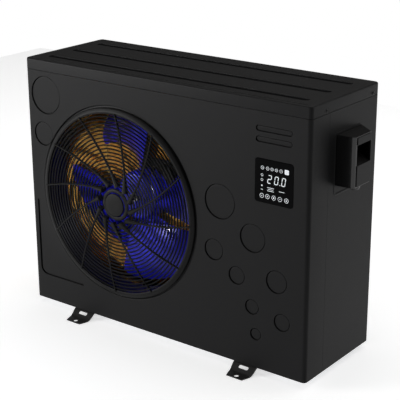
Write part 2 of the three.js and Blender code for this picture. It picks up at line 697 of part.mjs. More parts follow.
function pipes() {
  const [left, middle, right] = VALVE.ports;
  const under = VALVE.z - 24 - 2 * GAP;
  const over = VALVE.z + 24 + 2 * GAP;
  const y = VALVE.y;
  const dome = COMPRESSOR_STUB[2] + 2 * GAP;
  const [dx, dy] = COMPRESSOR_STUB;
  const coil = COIL_END_X + 2 + 2 * GAP;
  return {
    discharge_pipe: pipe([[dx, dy, dome], [dx, dy, dome + 18], [262, 62, 372], [266, 68, 425],
      [246, 58, 458], [middle + 3, y + 3, 460], [middle, y, 446], [middle, y, over]], 5),
    suction_pipe: pipe([[middle, y, under], [middle, y, 356], [middle - 1, 8, 338],
      [ACCUMULATOR[0] + 1, -50, 334], [...ACCUMULATOR, 318], [...ACCUMULATOR, 292 + 2 * GAP]], 6),
    coil_gas_pipe: pipe([[left, y, under], [left, y, 356], [left - 4, 60, 338],
      [left - 7, 88, 336], [HEADER_X, HEADER_Y - 9.6, 336]], 6),
    exchanger_gas_pipe: pipe([[right, y, under], [right, y, 362], [264, y, 350],
      [276, y, 362], [277, y + 1, 400], [298, y + 5, 432], [335, SHELL_Y, 442],
      [WATER_X - 3, SHELL_Y, 432], [WATER_X, SHELL_Y, 415], [WATER_X, SHELL_Y, 400 + 2 * GAP]], 6, 18),
    exchanger_liquid_pipe: pipe([[WATER_X, SHELL_Y - SHELL_R - 12.6, 80], [WATER_X, -58, 80],
      [WATER_X, -84, 100], [WATER_X - 4, -95, 150], [WATER_X - 8, -95, 188],
      [345, -95, 200], [327, -95, 200]], 4.5),
    coil_liquid_pipe: pipe([[273, -95, 200], [258, -98, 200], [244, -120, 200], [215, -128, 200],
      [165, -128, 200], [140, -108, 200], [136, -60, 200], [136, 30, 190], [148, 66, 120],
      [168, 92, 76], [176, 112, 62], [168, HEADER_Y, 58], [coil, HEADER_Y, 58]], 4.5, 24),
  };
}

function suctionElbow() {
  const [x, y] = ACCUMULATOR;
  return pipe([[x, y, 91.4], [x, y, 80], [x, y + 8, 71], [x, y + 20, 70],
    [x, COMPRESSOR[1] - COMPRESSOR_R - 1, 70]], 6, 10);
}

function heatExchanger() {
  const shell = turnedZ([
    [0, PAN_TOP], [SHELL_R, PAN_TOP], [SHELL_R, PAN_TOP + 14], [SHELL_R - 4, PAN_TOP + 18],
    [SHELL_R - 4, 366], [SHELL_R, 370], [SHELL_R, 384], [SHELL_R - 10, 392], [9, 394], [9, 400], [0, 400],
  ], WATER_X, SHELL_Y, 22);
  const sockets = WATER_Z.map((z) => rod('y', 33, SHELL_Y, SHELL_Y + SHELL_R + 6, WATER_X, z, 16));
  const tap = rod('y', 8, SHELL_Y - SHELL_R - 12, SHELL_Y, WATER_X, 80, 12);
  return join(shell, ...sockets, tap);
}

// ---------- water connections ----------
const PORT_START = SHELL_Y + SHELL_R + 6 + GAP;
const PORT_END = BACK + 37;

function waterPort(z) {
  return turnedY(closed([
    [BORE_R, PORT_START], [PORT_R + 6, PORT_START], [PORT_R + 6, PORT_START + 5],
    [PORT_R, PORT_START + 7], [PORT_R, PORT_END], [BORE_R, PORT_END],
  ]), WATER_X, z, 20);
}

function unionTail(z) {
  const s = PORT_END + GAP;
  return turnedY(closed([
    [17, s], [PORT_R, s], [PORT_R, s + 5], [22.5, s + 5], [22.5, s + 14], [29, s + 16],
    [29, TAIL_END], [PORT_R, TAIL_END], [PORT_R, s + 18], [17, s + 16],
  ]), WATER_X, z, 18);
}

function unionNut(z) {
  const outline = Array.from({ length: 32 }, (_, i) => {
    const r = Math.floor(i / 2) % 2 ? 37 : 34.5;
    const a = i * Math.PI / 16;
    return [WATER_X + r * Math.cos(a), z + r * Math.sin(a)];
  });
  const end = PORT_END + 9.5;
  return cut(extrudeY(polygon(outline), BACK + 18, end),
    rod('y', PORT_R + 1, BACK, end - 3.5, WATER_X, z, 20),
    rod('y', 23.3, BACK, end + 5, WATER_X, z, 20));
}

const SWITCH_Y = 138;
const PADDLE_PIVOT_Z = WATER_Z[0] + 33;
const PADDLE_PIN_R = 2.5;

function flowSwitch() {
  const base = WATER_Z[0] + PORT_R + GAP;
  const body = join(rod('z', 11, base, base + 28, WATER_X, SWITCH_Y, 16),
    box(WATER_X - 20, WATER_X + 20, SWITCH_Y - 11, SWITCH_Y + 11, base + 18, base + 52));
  const seat = rod('y', PORT_R + GAP, SWITCH_Y - 30, SWITCH_Y + 30, WATER_X, WATER_Z[0], 20);
  const pinHole = rod('x', PADDLE_PIN_R + GAP, WATER_X - 10, WATER_X + 10,
    SWITCH_Y, PADDLE_PIVOT_Z, 12);
  return cut(body, seat, pinHole,
    rod('z', 7.5, base - 9, base + 14, WATER_X, SWITCH_Y, 16));
}

function flowPaddle() {
  const z = WATER_Z[0];
  return join(box(WATER_X - 2, WATER_X + 2, SWITCH_Y - 1.5, SWITCH_Y + 1.5, z - 8, PADDLE_PIVOT_Z + 3),
    box(WATER_X - 10, WATER_X + 10, SWITCH_Y - 1, SWITCH_Y + 1, z - 12, z + 8),
    rod('x', PADDLE_PIN_R, WATER_X - 9.5, WATER_X + 9.5, SWITCH_Y, PADDLE_PIVOT_Z, 12));
}

// ---------- electrics ----------
const BOX_X = [136, 405];
const BOX_Y = [-120, 90];
const BOX_Z = [474, 688];

function electronicsBox() {
  const t = 2;
  return cut(box(...BOX_X, ...BOX_Y, BOX_Z[0], BOX_Z[1] - 3),
    box(BOX_X[0] + t, BOX_X[1] - t, BOX_Y[0] + t, BOX_Y[1] - t, BOX_Z[0] + t, BOX_Z[1] + 9),
    rod('z', 14, BOX_Z[0] - 5, BOX_Z[0] + 5, BOX_X[1] - 40, BOX_Y[1] - 40, 16));
}

function electronicsLid() {
  const [z, over] = [BOX_Z[1], 1 + GAP];
  return cut(box(BOX_X[0] - over, BOX_X[1] + over, BOX_Y[0] - over, BOX_Y[1] + over, z - 14, z),
    box(BOX_X[0] - GAP, BOX_X[1] + GAP, BOX_Y[0] - GAP, BOX_Y[1] + GAP, z - 20, z - 3 + GAP));
}

function controlBoard() {
  const z = BOX_Z[0] + 2 + GAP;
  const [x0, x1, y0, y1] = [BOX_X[0] + 16, BOX_X[1] - 70, BOX_Y[0] + 14, BOX_Y[1] - 14];
  const posts = [x0 + 8, x1 - 8].flatMap((x) => [y0 + 8, y1 - 8].map((y) =>
    rod('z', 4, z, z + 13, x, y, 8)));
  const cans = [0, 1, 2].map((i) => rod('z', 15, z + 13, z + 62, x0 + 34 + i * 36, y1 - 30, 12));
  const sink = box(x0 + 20, x0 + 110, y0 + 24, y0 + 74, z + 13, z + 48);
  const relays = [0, 1, 2].map((i) =>
    box(x1 - 50, x1 - 20, y0 + 14 + i * 40, y0 + 42 + i * 40, z + 13, z + 40));
  return join(box(x0, x1, y0, y1, z + 12, z + 14), ...posts, ...cans, sink, ...relays);
}

function displayGlass() {
  const h = DISPLAY_SIZE / 2;
  return extrudeY(roundedRect(DISPLAY_X - h, DISPLAY_X + h, DISPLAY_Z - h, DISPLAY_Z + h, DISPLAY_R),
    FRONT - 1, FRONT + SHEET);
}

function displayHousing() {
  const start = FRONT + SHEET + GAP;
  const [flange, body] = [59, 50];
  return join(box(DISPLAY_X - flange, DISPLAY_X + flange, start, start + 2,
    DISPLAY_Z - flange, DISPLAY_Z + flange),
  box(DISPLAY_X - body, DISPLAY_X + body, start, start + 20, DISPLAY_Z - body, DISPLAY_Z + body));
}

function terminalBlock() {
  const [x, y, z] = [HALF_W - SHEET - GAP, 50, 528];
  const block = box(x - 20, x, y, y + 24, z, z + 64);
  const wells = [0, 1, 2, 3, 4].map((i) =>
    box(x - 14, x - 6, y - 1, y + 10, z + 5 + i * 12, z + 11 + i * 12));
  return cut(block, ...wells);
}

// ---------- side shroud with hand hole ----------
function shroudPlan(inset) {
  const [near, out, r] = [HALF_W + GAP, HALF_W + SHROUD_OUT - inset, 8 - inset];
  const [y0, y1] = [SHROUD_FACE_Y[0] - 5 + inset, SHROUD_FACE_Y[1] - inset * 0.6];
  const s = new THREE.Shape();
  s.moveTo(near - inset, SHROUD_Y[0] + inset);
  s.lineTo(out - r, y0);
  s.absarc(out - r, y0 + r, r, -Math.PI / 2, 0, false);
  s.lineTo(out, y1);
  s.lineTo(near - inset, SHROUD_Y[1] - inset * 1.4);
  s.closePath();
  return s;
}

function handleShroud() {
  const wall = 3;
  const [z0, z1] = SHROUD_Z;
  const [h0, h1] = HAND_HOLE_Z;
  const ramp = extrudeY(polygon([[HALF_W + SHROUD_OUT - 1, h0 - 3], [HALF_W + SHROUD_OUT - 1, h0],
    [HALF_W + 12, h0 + 24], [HALF_W + 12, h0 + 21]]), SHROUD_FACE_Y[0] - 2, SHROUD_FACE_Y[1] - 3);
  const shell = cut(extrudeZ(shroudPlan(0), z0, z1, 5), extrudeZ(shroudPlan(wall), z0 + wall, z1 - wall, 5));
  const hole = box(HALF_W + SHROUD_OUT - 8, HALF_W + SHROUD_OUT + 8, SHROUD_FACE_Y[0] + 4,
    SHROUD_FACE_Y[1] - 4, h0, h1);
  const bottom = rod('z', GLAND_R + GAP, z0 - 5, z0 + wall + 5, ...GLAND_AT, 16);
  return join(cut(shell, hole, bottom), ramp);
}

function shroudFace() {
  const [x, y0, y1] = [HALF_W + SHROUD_OUT + GAP, SHROUD_FACE_Y[0] + 4, SHROUD_FACE_Y[1]];
  const [z0, z1] = SHROUD_Z;
  const [h0, h1] = HAND_HOLE_Z;
  return cut(extrudeX(roundedRect(y0, y1, z0 + 2, z1 - 2, 3), x, x + FACE_T, 2),
    box(x - 1, x + FACE_T + 1, y0 - 5, y1 - 4, h0, h1));
}

const GLAND_AT = [HALF_W + 24, 10];
const GLAND_R = 9;

function cableGland() {
  const z = SHROUD_Z[0];
  return turnedZ(closed([
    [6, z - 18], [10, z - 18], [12, z - 14], [12, z - GAP], [GLAND_R, z - GAP],
    [GLAND_R, z + 7], [6, z + 7],
  ]), ...GLAND_AT, 14);
}

// ---------- assembly ----------
piece('base_pan', basePan(), paint());
piece('foot_rail_left', footRail(-FOOT_X), blackPlastic());
piece('foot_rail_right', footRail(FOOT_X), blackPlastic());
piece('front_panel', frontPanel(), paint());
piece('top_cover', topCover(), paint());
piece('right_side_panel', rightSidePanel(), paint());
piece('rear_panel', rearPanel(), paint());
piece('rear_corner_post', rearCornerPost(), paint());
piece('left_coil_guard', leftCoilGuard(), paint());
piece('rear_coil_guard', rearCoilGuard(), paint());
piece('drain_spout', drainSpout(), blackPlastic());

piece('fan_guard', fanGuard(), guardGrey());
piece('guard_hub_cap', guardCap(), guardGrey());
piece('fan_orifice', fanOrifice(), blackPlastic());
piece('fan', fan(), finish(0x1a1fd0, 0.35, 0));
piece('fan_nut', fanNut(), steel());
piece('motor_shaft', rod('y', SHAFT_R, FRONT + BLADE_FRONT - 14, FRONT + MOTOR_FRONT + 40,
  FAN_X, FAN_Z, 16), steel());
piece('fan_motor', fanMotor(), finish(0x2a2a2a, 0.5, 0.3));
piece('motor_bracket', motorBracket(), steel());

piece('evaporator_coil', coilBlock(), finish(0xc79a3a, 0.35, 0.7));
piece('coil_plate_front', box(COIL_LEFT - 4, COIL_LEFT + COIL_T + 4, COIL_START - 2 - GAP,
  COIL_START - GAP, ...COIL_Z), steel());
piece('coil_plate_rear', box(COIL_END_X + GAP, COIL_END_X + 2 + GAP, COIL_BACK - COIL_T - 4,
  COIL_BACK + 4, ...COIL_Z), steel());
piece('coil_header', coilHeader(), copper());
piece('partition_plate', box(PARTITION_X, PARTITION_X + SHEET, FRONT + SEAT_DEPTH + SHEET + GAP,
  COIL_BACK - COIL_T - 6, PAN_TOP, TOP - 2.5 - GAP), steel());

piece('compressor', compressor(), finish(0x151515, 0.45, 0.3));
feetPlaces.forEach((place, i) => piece(`compressor_grommet_${i + 1}`, grommet(place), blackPlastic()));
piece('accumulator', accumulator(), finish(0x151515, 0.45, 0.3));
piece('suction_elbow', suctionElbow(), copper());
piece('four_way_valve', fourWayValve(), brass());
piece('expansion_valve', expansionValve(), brass());
Object.entries(pipes()).forEach(([name, shape]) => piece(name, shape, copper()));
piece('heat_exchanger', heatExchanger(), whitePlastic());

['inlet', 'outlet'].forEach((name, i) => {
  const port = waterPort(WATER_Z[i]);
  const hole = rod('z', 7.5, WATER_Z[i], WATER_Z[i] + 40, WATER_X, SWITCH_Y, 16);
  piece(`water_${name}_port`, i === 0 ? cut(port, hole) : port, whitePlastic());
  piece(`${name}_union_nut`, unionNut(WATER_Z[i]), blackPlastic());
  piece(`${name}_union_tail`, unionTail(WATER_Z[i]), whitePlastic());
});
piece('flow_switch', flowSwitch(), blackPlastic());
piece('flow_paddle', flowPaddle(), steel());

piece('electronics_box', electronicsBox(), steel());
piece('electronics_lid', electronicsLid(), steel());
piece('control_board', controlBoard(), finish(0x1d5a33, 0.6, 0));
piece('display_glass', displayGlass(), finish(0x020202, 0.08, 0));
piece('display_housing', displayHousing(), blackPlastic());
piece('terminal_block', terminalBlock(), whitePlastic());
piece('handle_shroud', handleShroud(), blackPlastic());
piece('shroud_face', shroudFace(), paint());
piece('cable_gland', cableGland(), blackPlastic());
screwPlaces.forEach(([side, y], i) => piece(`cover_screw_${i + 1}`, coverScrew(side, y), steel()));

// origin on the ground, in the middle of the overall box
const rightEdge = HALF_W + SHROUD_OUT + GAP + FACE_T;
const leftEdge = -HALF_W - 2.8;
unit.position.set(-(rightEdge + leftEdge) / 2, -(FRONT - FOOT_REACH + TAIL_END) / 2, 0);
const group = new THREE.Group();
group.add(unit);
export default group;
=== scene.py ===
# %% [markdown]
# # A pool heat pump in an upright cabinet
# The real thing is an outdoor box of folded sheet steel, painted charcoal. A fan behind a moulded
# guard throws air out of the front, a gold finned coil stands behind it in an L, and the
# compressor and the water heat exchanger fill the right-hand bay. The solid frame brings every
# piece at its true size and place. This lesson gives each of them its real surface.

# %% Load the frame and read its main sizes
import math

import bmesh
import bpy
from mathutils import Euler, Matrix, Vector
from mathutils.geometry import delaunay_2d_cdt


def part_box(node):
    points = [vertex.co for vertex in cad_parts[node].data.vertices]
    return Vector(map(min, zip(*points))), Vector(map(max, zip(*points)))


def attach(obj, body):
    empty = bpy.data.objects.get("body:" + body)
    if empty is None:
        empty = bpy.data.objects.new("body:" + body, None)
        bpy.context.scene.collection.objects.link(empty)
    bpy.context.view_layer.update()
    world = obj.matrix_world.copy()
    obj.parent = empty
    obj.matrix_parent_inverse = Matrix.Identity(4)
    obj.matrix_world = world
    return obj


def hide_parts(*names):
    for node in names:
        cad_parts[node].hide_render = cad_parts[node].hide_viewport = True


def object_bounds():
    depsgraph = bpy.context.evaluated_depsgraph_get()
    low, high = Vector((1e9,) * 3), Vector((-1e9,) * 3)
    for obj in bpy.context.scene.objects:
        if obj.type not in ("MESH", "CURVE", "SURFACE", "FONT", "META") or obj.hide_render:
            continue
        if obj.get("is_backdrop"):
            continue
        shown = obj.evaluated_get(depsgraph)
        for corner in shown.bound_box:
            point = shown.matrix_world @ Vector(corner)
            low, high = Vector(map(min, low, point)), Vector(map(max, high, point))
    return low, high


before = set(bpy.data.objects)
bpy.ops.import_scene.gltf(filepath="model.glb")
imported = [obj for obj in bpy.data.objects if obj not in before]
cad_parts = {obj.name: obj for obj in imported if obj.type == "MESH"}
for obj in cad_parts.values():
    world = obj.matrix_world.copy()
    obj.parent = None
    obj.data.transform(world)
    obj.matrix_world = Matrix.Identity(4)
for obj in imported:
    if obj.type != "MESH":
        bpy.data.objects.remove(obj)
solid_bounds = [list(corner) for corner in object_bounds()]

MM = 0.001
cover_low, cover_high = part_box("top_cover")
LEFT, RIGHT = cover_low.x, cover_high.x
FRONT, BACK = cover_low.y, cover_high.y
TOP, SEAM = cover_high.z, cover_low.z
MIDDLE = (LEFT + RIGHT) / 2
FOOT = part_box("base_pan")[0].z
CORNER = 10 * MM
SHEET = 1.6 * MM


def centre(node):
    low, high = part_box(node)
    return (low + high) / 2


def linked(name, data):
    thing = bpy.data.objects.new(name, data)
    bpy.context.scene.collection.objects.link(thing)
    return thing


FAN = centre("guard_hub_cap")
PANEL_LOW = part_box("front_panel")[0].z
PANEL_HIGH = SEAM - 0.6 * MM
print("cabinet", [round(v, 4) for v in (RIGHT - LEFT, BACK - FRONT, TOP - FOOT)], "m; fan axis at", FAN)

# %% [markdown]
# ## The camera
# A long lens from the right and a little above keeps the box's edges nearly parallel.
# The camera comes first, so that every later choice can be judged through it.

# %% Place the camera
LENS, SENSOR = 105.33, 36.0
AZIMUTH, ELEVATION, ROLL = 37.3756, 19.0583, -0.2993
CAMERA_AT = Vector((RIGHT + 1.335258, FRONT - 2.161467, FOOT + 1.346022))

turn, tilt, roll = (math.radians(v) for v in (AZIMUTH, ELEVATION, ROLL))
look = Vector((-math.sin(turn) * math.cos(tilt), math.cos(turn) * math.cos(tilt), -math.sin(tilt)))
right = Vector((math.cos(turn), math.sin(turn), 0))
up = right.cross(look)
right, up = (right * math.cos(roll) + up * math.sin(roll),
             up * math.cos(roll) - right * math.sin(roll))
camera_data = bpy.data.cameras.new("camera")
camera_data.lens, camera_data.sensor_width = LENS, SENSOR
camera_data.clip_start, camera_data.clip_end = 0.05, 60
camera = linked("camera", camera_data)
facing = Matrix((right, up, -look)).transposed().to_4x4()
camera.matrix_world = Matrix.Translation(CAMERA_AT) @ facing
bpy.context.scene.camera = camera
print("camera at", [round(v, 3) for v in CAMERA_AT], "looking", [round(v, 3) for v in look])

# %% [markdown]
# ## Building node trees in a few words
# Both shader trees and geometry trees are lists of nodes with values or links on their sockets,
# so one small function serves both. `add` makes a node, sets its properties, and fills its
# sockets: a socket gets a link, anything else becomes the socket's value.

# %% Two helpers for node trees
def add(tree, kind, sockets=None, **properties):
    node = tree.nodes.new(kind)
    for name, value in properties.items():
        setattr(node, name, value)
    for name, value in (sockets or {}).items():
        if isinstance(value, bpy.types.NodeSocket):
            tree.links.new(value, node.inputs[name])
        else:
            node.inputs[name].default_value = value
    return node


def first(tree, kind, sockets=None, **properties):
    """The first output of a new node, where only that output is used."""
    return add(tree, kind, sockets, **properties).outputs[0]


def maths(tree, operation, *values):
    return first(tree, "ShaderNodeMath", dict(enumerate(values)), operation=operation)


def vector(tree, **parts):
    return first(tree, "ShaderNodeCombineXYZ", parts)


def place_on_object(tree):
    return add(tree, "ShaderNodeTexCoord").outputs["Object"]


def new_group(name, kind, inputs, outputs):
    """A node group with named sockets; inputs are (name, type, value)."""
    group = bpy.data.node_groups.new(name, kind)
    new_socket = group.interface.new_socket
    for label, socket_type, value in inputs:
        socket = new_socket(label, in_out="INPUT", socket_type="NodeSocket" + socket_type)
        if value is not None:
            socket.default_value = value
    for label, socket_type in outputs:
        new_socket(label, in_out="OUTPUT", socket_type="NodeSocket" + socket_type)
    nodes = group.nodes
    return group, nodes.new("NodeGroupInput").outputs, nodes.new("NodeGroupOutput").inputs


print("node helpers ready")


# %% [markdown]
# ## Effects that several finishes share
# Paint, plastic and metal all have a fine grain, a slow drift of tone, a little dust on faces that
# look up, and fine rub marks. Each effect is a group with named sizes, so that one material can
# have a coarse grain and another a fine one. Sizes are in metres, on object coordinates, and every
# finished piece keeps its object at the origin, so a grain stays where it is.

# %% Group: fine grain
grain_group, given, result = new_group("fine_grain", "ShaderNodeTree",
    [("Size", "Float", 0.002), ("Softness", "Float", 0.5)], [("Height", "Float"), ("Mask", "Float")])
place = place_on_object(grain_group)
scale = maths(grain_group, "DIVIDE", 1.0, given["Size"])
noise = add(grain_group, "ShaderNodeTexNoise",
            {"Vector": place, "Scale": scale, "Detail": 3.0, "Roughness": given["Softness"]})
bumps = add(grain_group, "ShaderNodeTexVoronoi", {"Vector": place, "Scale": scale}, feature="SMOOTH_F1")
height = maths(grain_group, "MULTIPLY_ADD", bumps.outputs["Distance"], 0.6, noise.outputs["Fac"])
grain_group.links.new(height, result["Height"])
mask = first(grain_group, "ShaderNodeMapRange",
             {"Value": noise.outputs["Fac"], "From Min": 0.35, "From Max": 0.65})
grain_group.links.new(mask, result["Mask"])
print("group", grain_group.name, "has", len(grain_group.nodes), "nodes")

# %% Group: slow drift of tone
drift_group, given, result = new_group("tone_drift", "ShaderNodeTree",
    [("Colour", "Color", None), ("Amount", "Float", 0.15), ("Patch", "Float", 0.2)],
    [("Colour", "Color"), ("Mask", "Float")])
place = place_on_object(drift_group)
cloud = add(drift_group, "ShaderNodeTexNoise", {"Vector": place, "Detail": 4.0,
            "Scale": maths(drift_group, "DIVIDE", 1.0, given["Patch"])}).outputs["Fac"]
around_zero = maths(drift_group, "SUBTRACT", cloud, 0.5)
lift = maths(drift_group, "MULTIPLY_ADD", around_zero, given["Amount"], 0.5)
value = maths(drift_group, "MULTIPLY", lift, 2.0)
toned = add(drift_group, "ShaderNodeHueSaturation", {"Color": given["Colour"], "Value": value})
drift_group.links.new(toned.outputs["Color"], result["Colour"])
drift_group.links.new(cloud, result["Mask"])
print("group", drift_group.name, "has", len(drift_group.nodes), "nodes")

# %% Group: dust on faces that look up
dust_group, given, result = new_group("settled_dust", "ShaderNodeTree",
    [("Colour", "Color", None), ("Dust", "Color", (0.32, 0.30, 0.27, 1)), ("Amount", "Float", 0.1)],
    [("Colour", "Color"), ("Mask", "Float")])
facing = add(dust_group, "ShaderNodeSeparateXYZ",
             {"Vector": add(dust_group, "ShaderNodeNewGeometry").outputs["Normal"]}).outputs["Z"]
flat = first(dust_group, "ShaderNodeMapRange", {"Value": facing, "From Min": 0.4, "From Max": 1.0})
specks = add(dust_group, "ShaderNodeTexNoise", {"Scale": 260.0, "Detail": 5.0, "Roughness": 0.7,
             "Vector": place_on_object(dust_group)}).outputs["Fac"]
cover = maths(dust_group, "MULTIPLY", maths(dust_group, "MULTIPLY", flat, specks), given["Amount"])
AMOUNT, BASE, ON_TOP, MIXED = 0, 6, 7, 2  # the colour sockets of a mix node
mixed = add(dust_group, "ShaderNodeMix", {AMOUNT: cover, BASE: given["Colour"], ON_TOP: given["Dust"]},
            data_type="RGBA")
dust_group.links.new(mixed.outputs[MIXED], result["Colour"])
dust_group.links.new(cover, result["Mask"])
print("group", dust_group.name, "has", len(dust_group.nodes), "nodes")

# %% Group: rub marks, long in one direction
rub_group, given, result = new_group("rub_marks", "ShaderNodeTree",
    [("Along", "Vector", (1, 30, 30)), ("Scale", "Float", 20.0)], [("Mask", "Float")])
stretched = add(rub_group, "ShaderNodeMapping", {"Scale": given["Along"],
                "Vector": place_on_object(rub_group)}).outputs["Vector"]
lines = add(rub_group, "ShaderNodeTexNoise", {"Vector": stretched, "Scale": given["Scale"], "Detail": 6.0,
            "Roughness": 0.65}).outputs["Fac"]
rub_group.links.new(lines, result["Mask"])
print("group", rub_group.name, "has", len(rub_group.nodes), "nodes")

# %% [markdown]
# ## Finishes
# One recipe covers every opaque finish: a drifting, lightly dusted base colour, a roughness that
# varies with the grain, and a bump from the same grain. Each finish differs in its numbers, and
# the metals and the coil add rub marks. The numbers are this object's own: powder coat has soft
# bumps about 1.5 mm across, moulded plastic has a spark-eroded grain of 0.6 mm.

# %% Recipe for an opaque finish
def finish(name, colour, roughness, metallic=0.0, grain=(0.0015, 0.00004), drift=(0.12, 0.2),
           dust=0.06, spread=0.12, rubbed=None, coat=0.0, level=0.5):
    material = bpy.data.materials.new(name)
    material.use_nodes = True
    tree = material.node_tree
    shader = tree.nodes["Principled BSDF"]
    shader.inputs["Metallic"].default_value = metallic
    shader.inputs["Coat Weight"].default_value = coat
    shader.inputs["Coat Roughness"].default_value = 0.12
    shader.inputs["Specular IOR Level"].default_value = level
    grains = add(tree, "ShaderNodeGroup", {}, node_tree=grain_group)
    grains.inputs["Size"].default_value = grain[0]
    drifts = add(tree, "ShaderNodeGroup", {}, node_tree=drift_group)
    drifts.inputs["Colour"].default_value = (*colour, 1)
    drifts.inputs["Amount"].default_value, drifts.inputs["Patch"].default_value = drift
    dusty = add(tree, "ShaderNodeGroup", {}, node_tree=dust_group)
    dusty.inputs["Amount"].default_value = dust
    tree.links.new(drifts.outputs["Colour"], dusty.inputs["Colour"])
    tree.links.new(dusty.outputs["Colour"], shader.inputs["Base Color"])
    uneven = grains.outputs["Mask"]
    if rubbed:
        marks = add(tree, "ShaderNodeGroup", {}, node_tree=rub_group)
        marks.inputs["Along"].default_value = rubbed
        less = maths(tree, "MULTIPLY", uneven, 0.2)
        uneven = maths(tree, "MULTIPLY_ADD", marks.outputs["Mask"], 0.8, less)
    rough = add(tree, "ShaderNodeMapRange", {"Value": uneven, "To Min": roughness - spread / 2,
                "To Max": roughness + spread / 2}).outputs["Result"]
    dulled = maths(tree, "MULTIPLY_ADD", dusty.outputs["Mask"], 0.5, rough)
    tree.links.new(dulled, shader.inputs["Roughness"])
    bump = first(tree, "ShaderNodeBump",
                 {"Distance": grain[1], "Strength": 1.0, "Height": grains.outputs["Height"]})
    tree.links.new(bump, shader.inputs["Normal"])
    return material


paint = finish("charcoal_powder_coat", (0.011, 0.011, 0.0115), 0.48, grain=(0.0014, 0.00003),
               drift=(0.10, 0.35), dust=0.04, level=0.12)
black_paint = finish("satin_black_paint", (0.010, 0.010, 0.010), 0.38, grain=(0.0012, 0.00003))
black_plastic = finish("black_moulding", (0.008, 0.008, 0.0085), 0.42, grain=(0.0006, 0.00004))
gloss_black = finish("polished_black_moulding", (0.006, 0.006, 0.0065), 0.16, grain=(0.004, 0.00001),
                     spread=0.05)
guard_plastic = finish("guard_moulding", (0.004, 0.004, 0.0042), 0.46, level=0.12, grain=(0.0008, 0.00003))
blue_plastic = finish("blue_fan_moulding", (0.020, 0.020, 0.62), 0.30, grain=(0.003, 0.00002),
                      drift=(0.12, 0.08), spread=0.08, coat=0.2)
motor_paint = finish("grey_motor_paint", (0.10, 0.10, 0.10), 0.5, grain=(0.001, 0.00005))
rubber = finish("moulded_rubber", (0.015, 0.015, 0.015), 0.75, grain=(0.0009, 0.00006))
# The near-black finish below is painted shade, for the strips laid along the floors of the top cover's
# channels.
channel_shade_paint = finish("dark_channel_sealant", (0.0015, 0.0015, 0.0016), 0.7, grain=(0.002, 0.00003), dust=0.0,
                 level=0.04)
white_plastic = finish("white_pipe_plastic", (0.72, 0.72, 0.70), 0.35, grain=(0.003, 0.00002),
                       drift=(0.05, 0.1))
copper = finish("drawn_copper", (0.62, 0.27, 0.13), 0.3, metallic=1.0, grain=(0.0008, 0.00001),
                drift=(0.5, 0.03), rubbed=(25, 25, 1), spread=0.25)
brass = finish("machined_brass", (0.62, 0.44, 0.16), 0.28, metallic=1.0, grain=(0.0005, 0.00001),
               drift=(0.25, 0.02), rubbed=(1, 25, 25))
gold_fin = finish("gold_coated_fins", (1.0, 0.62, 0.15), 0.42, metallic=0.12, grain=(0.002, 0.00002),
                  drift=(0.3, 0.12), rubbed=(30, 30, 1), spread=0.2)
screw_steel = finish("zinc_screw_steel", (0.55, 0.55, 0.56), 0.32, metallic=1.0, grain=(0.0005, 0.00001),
                     drift=(0.3, 0.01))
print(len(bpy.data.materials), "materials so far")

# %% [markdown]
# Galvanised sheet shows its zinc crystals as flat, angular patches of slightly different grey.
# A Voronoi pattern has the same straight-edged cells, and its cell colour drives tone and gloss.

# %% Finish: galvanised sheet
zinc = finish("galvanised_sheet", (0.42, 0.43, 0.45), 0.38, metallic=0.9, drift=(0.2, 0.15))
tree, shader = zinc.node_tree, zinc.node_tree.nodes["Principled BSDF"]
CRYSTALS = 90.0  # per metre
cells = add(tree, "ShaderNodeTexVoronoi", {"Scale": CRYSTALS, "Vector": place_on_object(tree)})
patch = add(tree, "ShaderNodeSeparateXYZ", {"Vector": cells.outputs["Color"]}).outputs["X"]
old = shader.inputs["Base Color"].links[0].from_socket
brightness = maths(tree, "MULTIPLY_ADD", patch, 0.5, 0.75)
bright = first(tree, "ShaderNodeHueSaturation", {"Color": old, "Value": brightness})
tree.links.new(bright, shader.inputs["Base Color"])
tree.links.new(maths(tree, "MULTIPLY_ADD", patch, 0.2, 0.28), shader.inputs["Roughness"])
print("zinc crystals about", round(1000 / CRYSTALS), "mm across")

# %% [markdown]
# The circuit board is green lacquer over copper tracks. Brick-like cells at two sizes give tracks
# and pads; the bump lifts the tracks a little.

# %% Finish: circuit board
board = finish("lacquered_circuit_board", (0.02, 0.16, 0.06), 0.35, drift=(0.3, 0.05))
tree, shader = board.node_tree, board.node_tree.nodes["Principled BSDF"]
where = place_on_object(tree)
TRACKS = 60.0  # per metre
tracks = add(tree, "ShaderNodeTexBrick", {
    "Vector": where, "Scale": TRACKS, "Mortar Size": 0.03, "Color1": (0.02, 0.17, 0.06, 1),
    "Color2": (0.015, 0.12, 0.045, 1), "Mortar": (0.10, 0.34, 0.12, 1)})
tree.links.new(tracks.outputs["Color"], shader.inputs["Base Color"])
print("board tracks on a", round(1000 / TRACKS), "mm pattern")

# %% [markdown]
# The touch display is one sheet of black glass. It has almost no texture: only a faint unevenness
# in its gloss, from wiping. Its lit marks are thin printed shapes that give their own light.

# %% Finish: display glass and its lit marks
display_black = finish("black_touch_glass", (0.002, 0.002, 0.0023), 0.05, level=0.03, grain=(0.02, 0.000004),
                       drift=(0.1, 0.1), dust=0.0, spread=0.03)
lit_marks = finish("lit_display_marks", (0.85, 0.88, 0.9), 0.4, dust=0.0, drift=(0.05, 0.01))
lit_shader = lit_marks.node_tree.nodes["Principled BSDF"]
glow = add(lit_marks.node_tree, "ShaderNodeGroup", {}, node_tree=drift_group)
glow.inputs["Colour"].default_value = (0.85, 0.9, 0.95, 1)
glow.inputs["Amount"].default_value, glow.inputs["Patch"].default_value = 0.1, 0.004
lit_marks.node_tree.links.new(glow.outputs["Colour"], lit_shader.inputs["Emission Color"])
lit_shader.inputs["Emission Strength"].default_value = 0.45
print("display finishes ready")
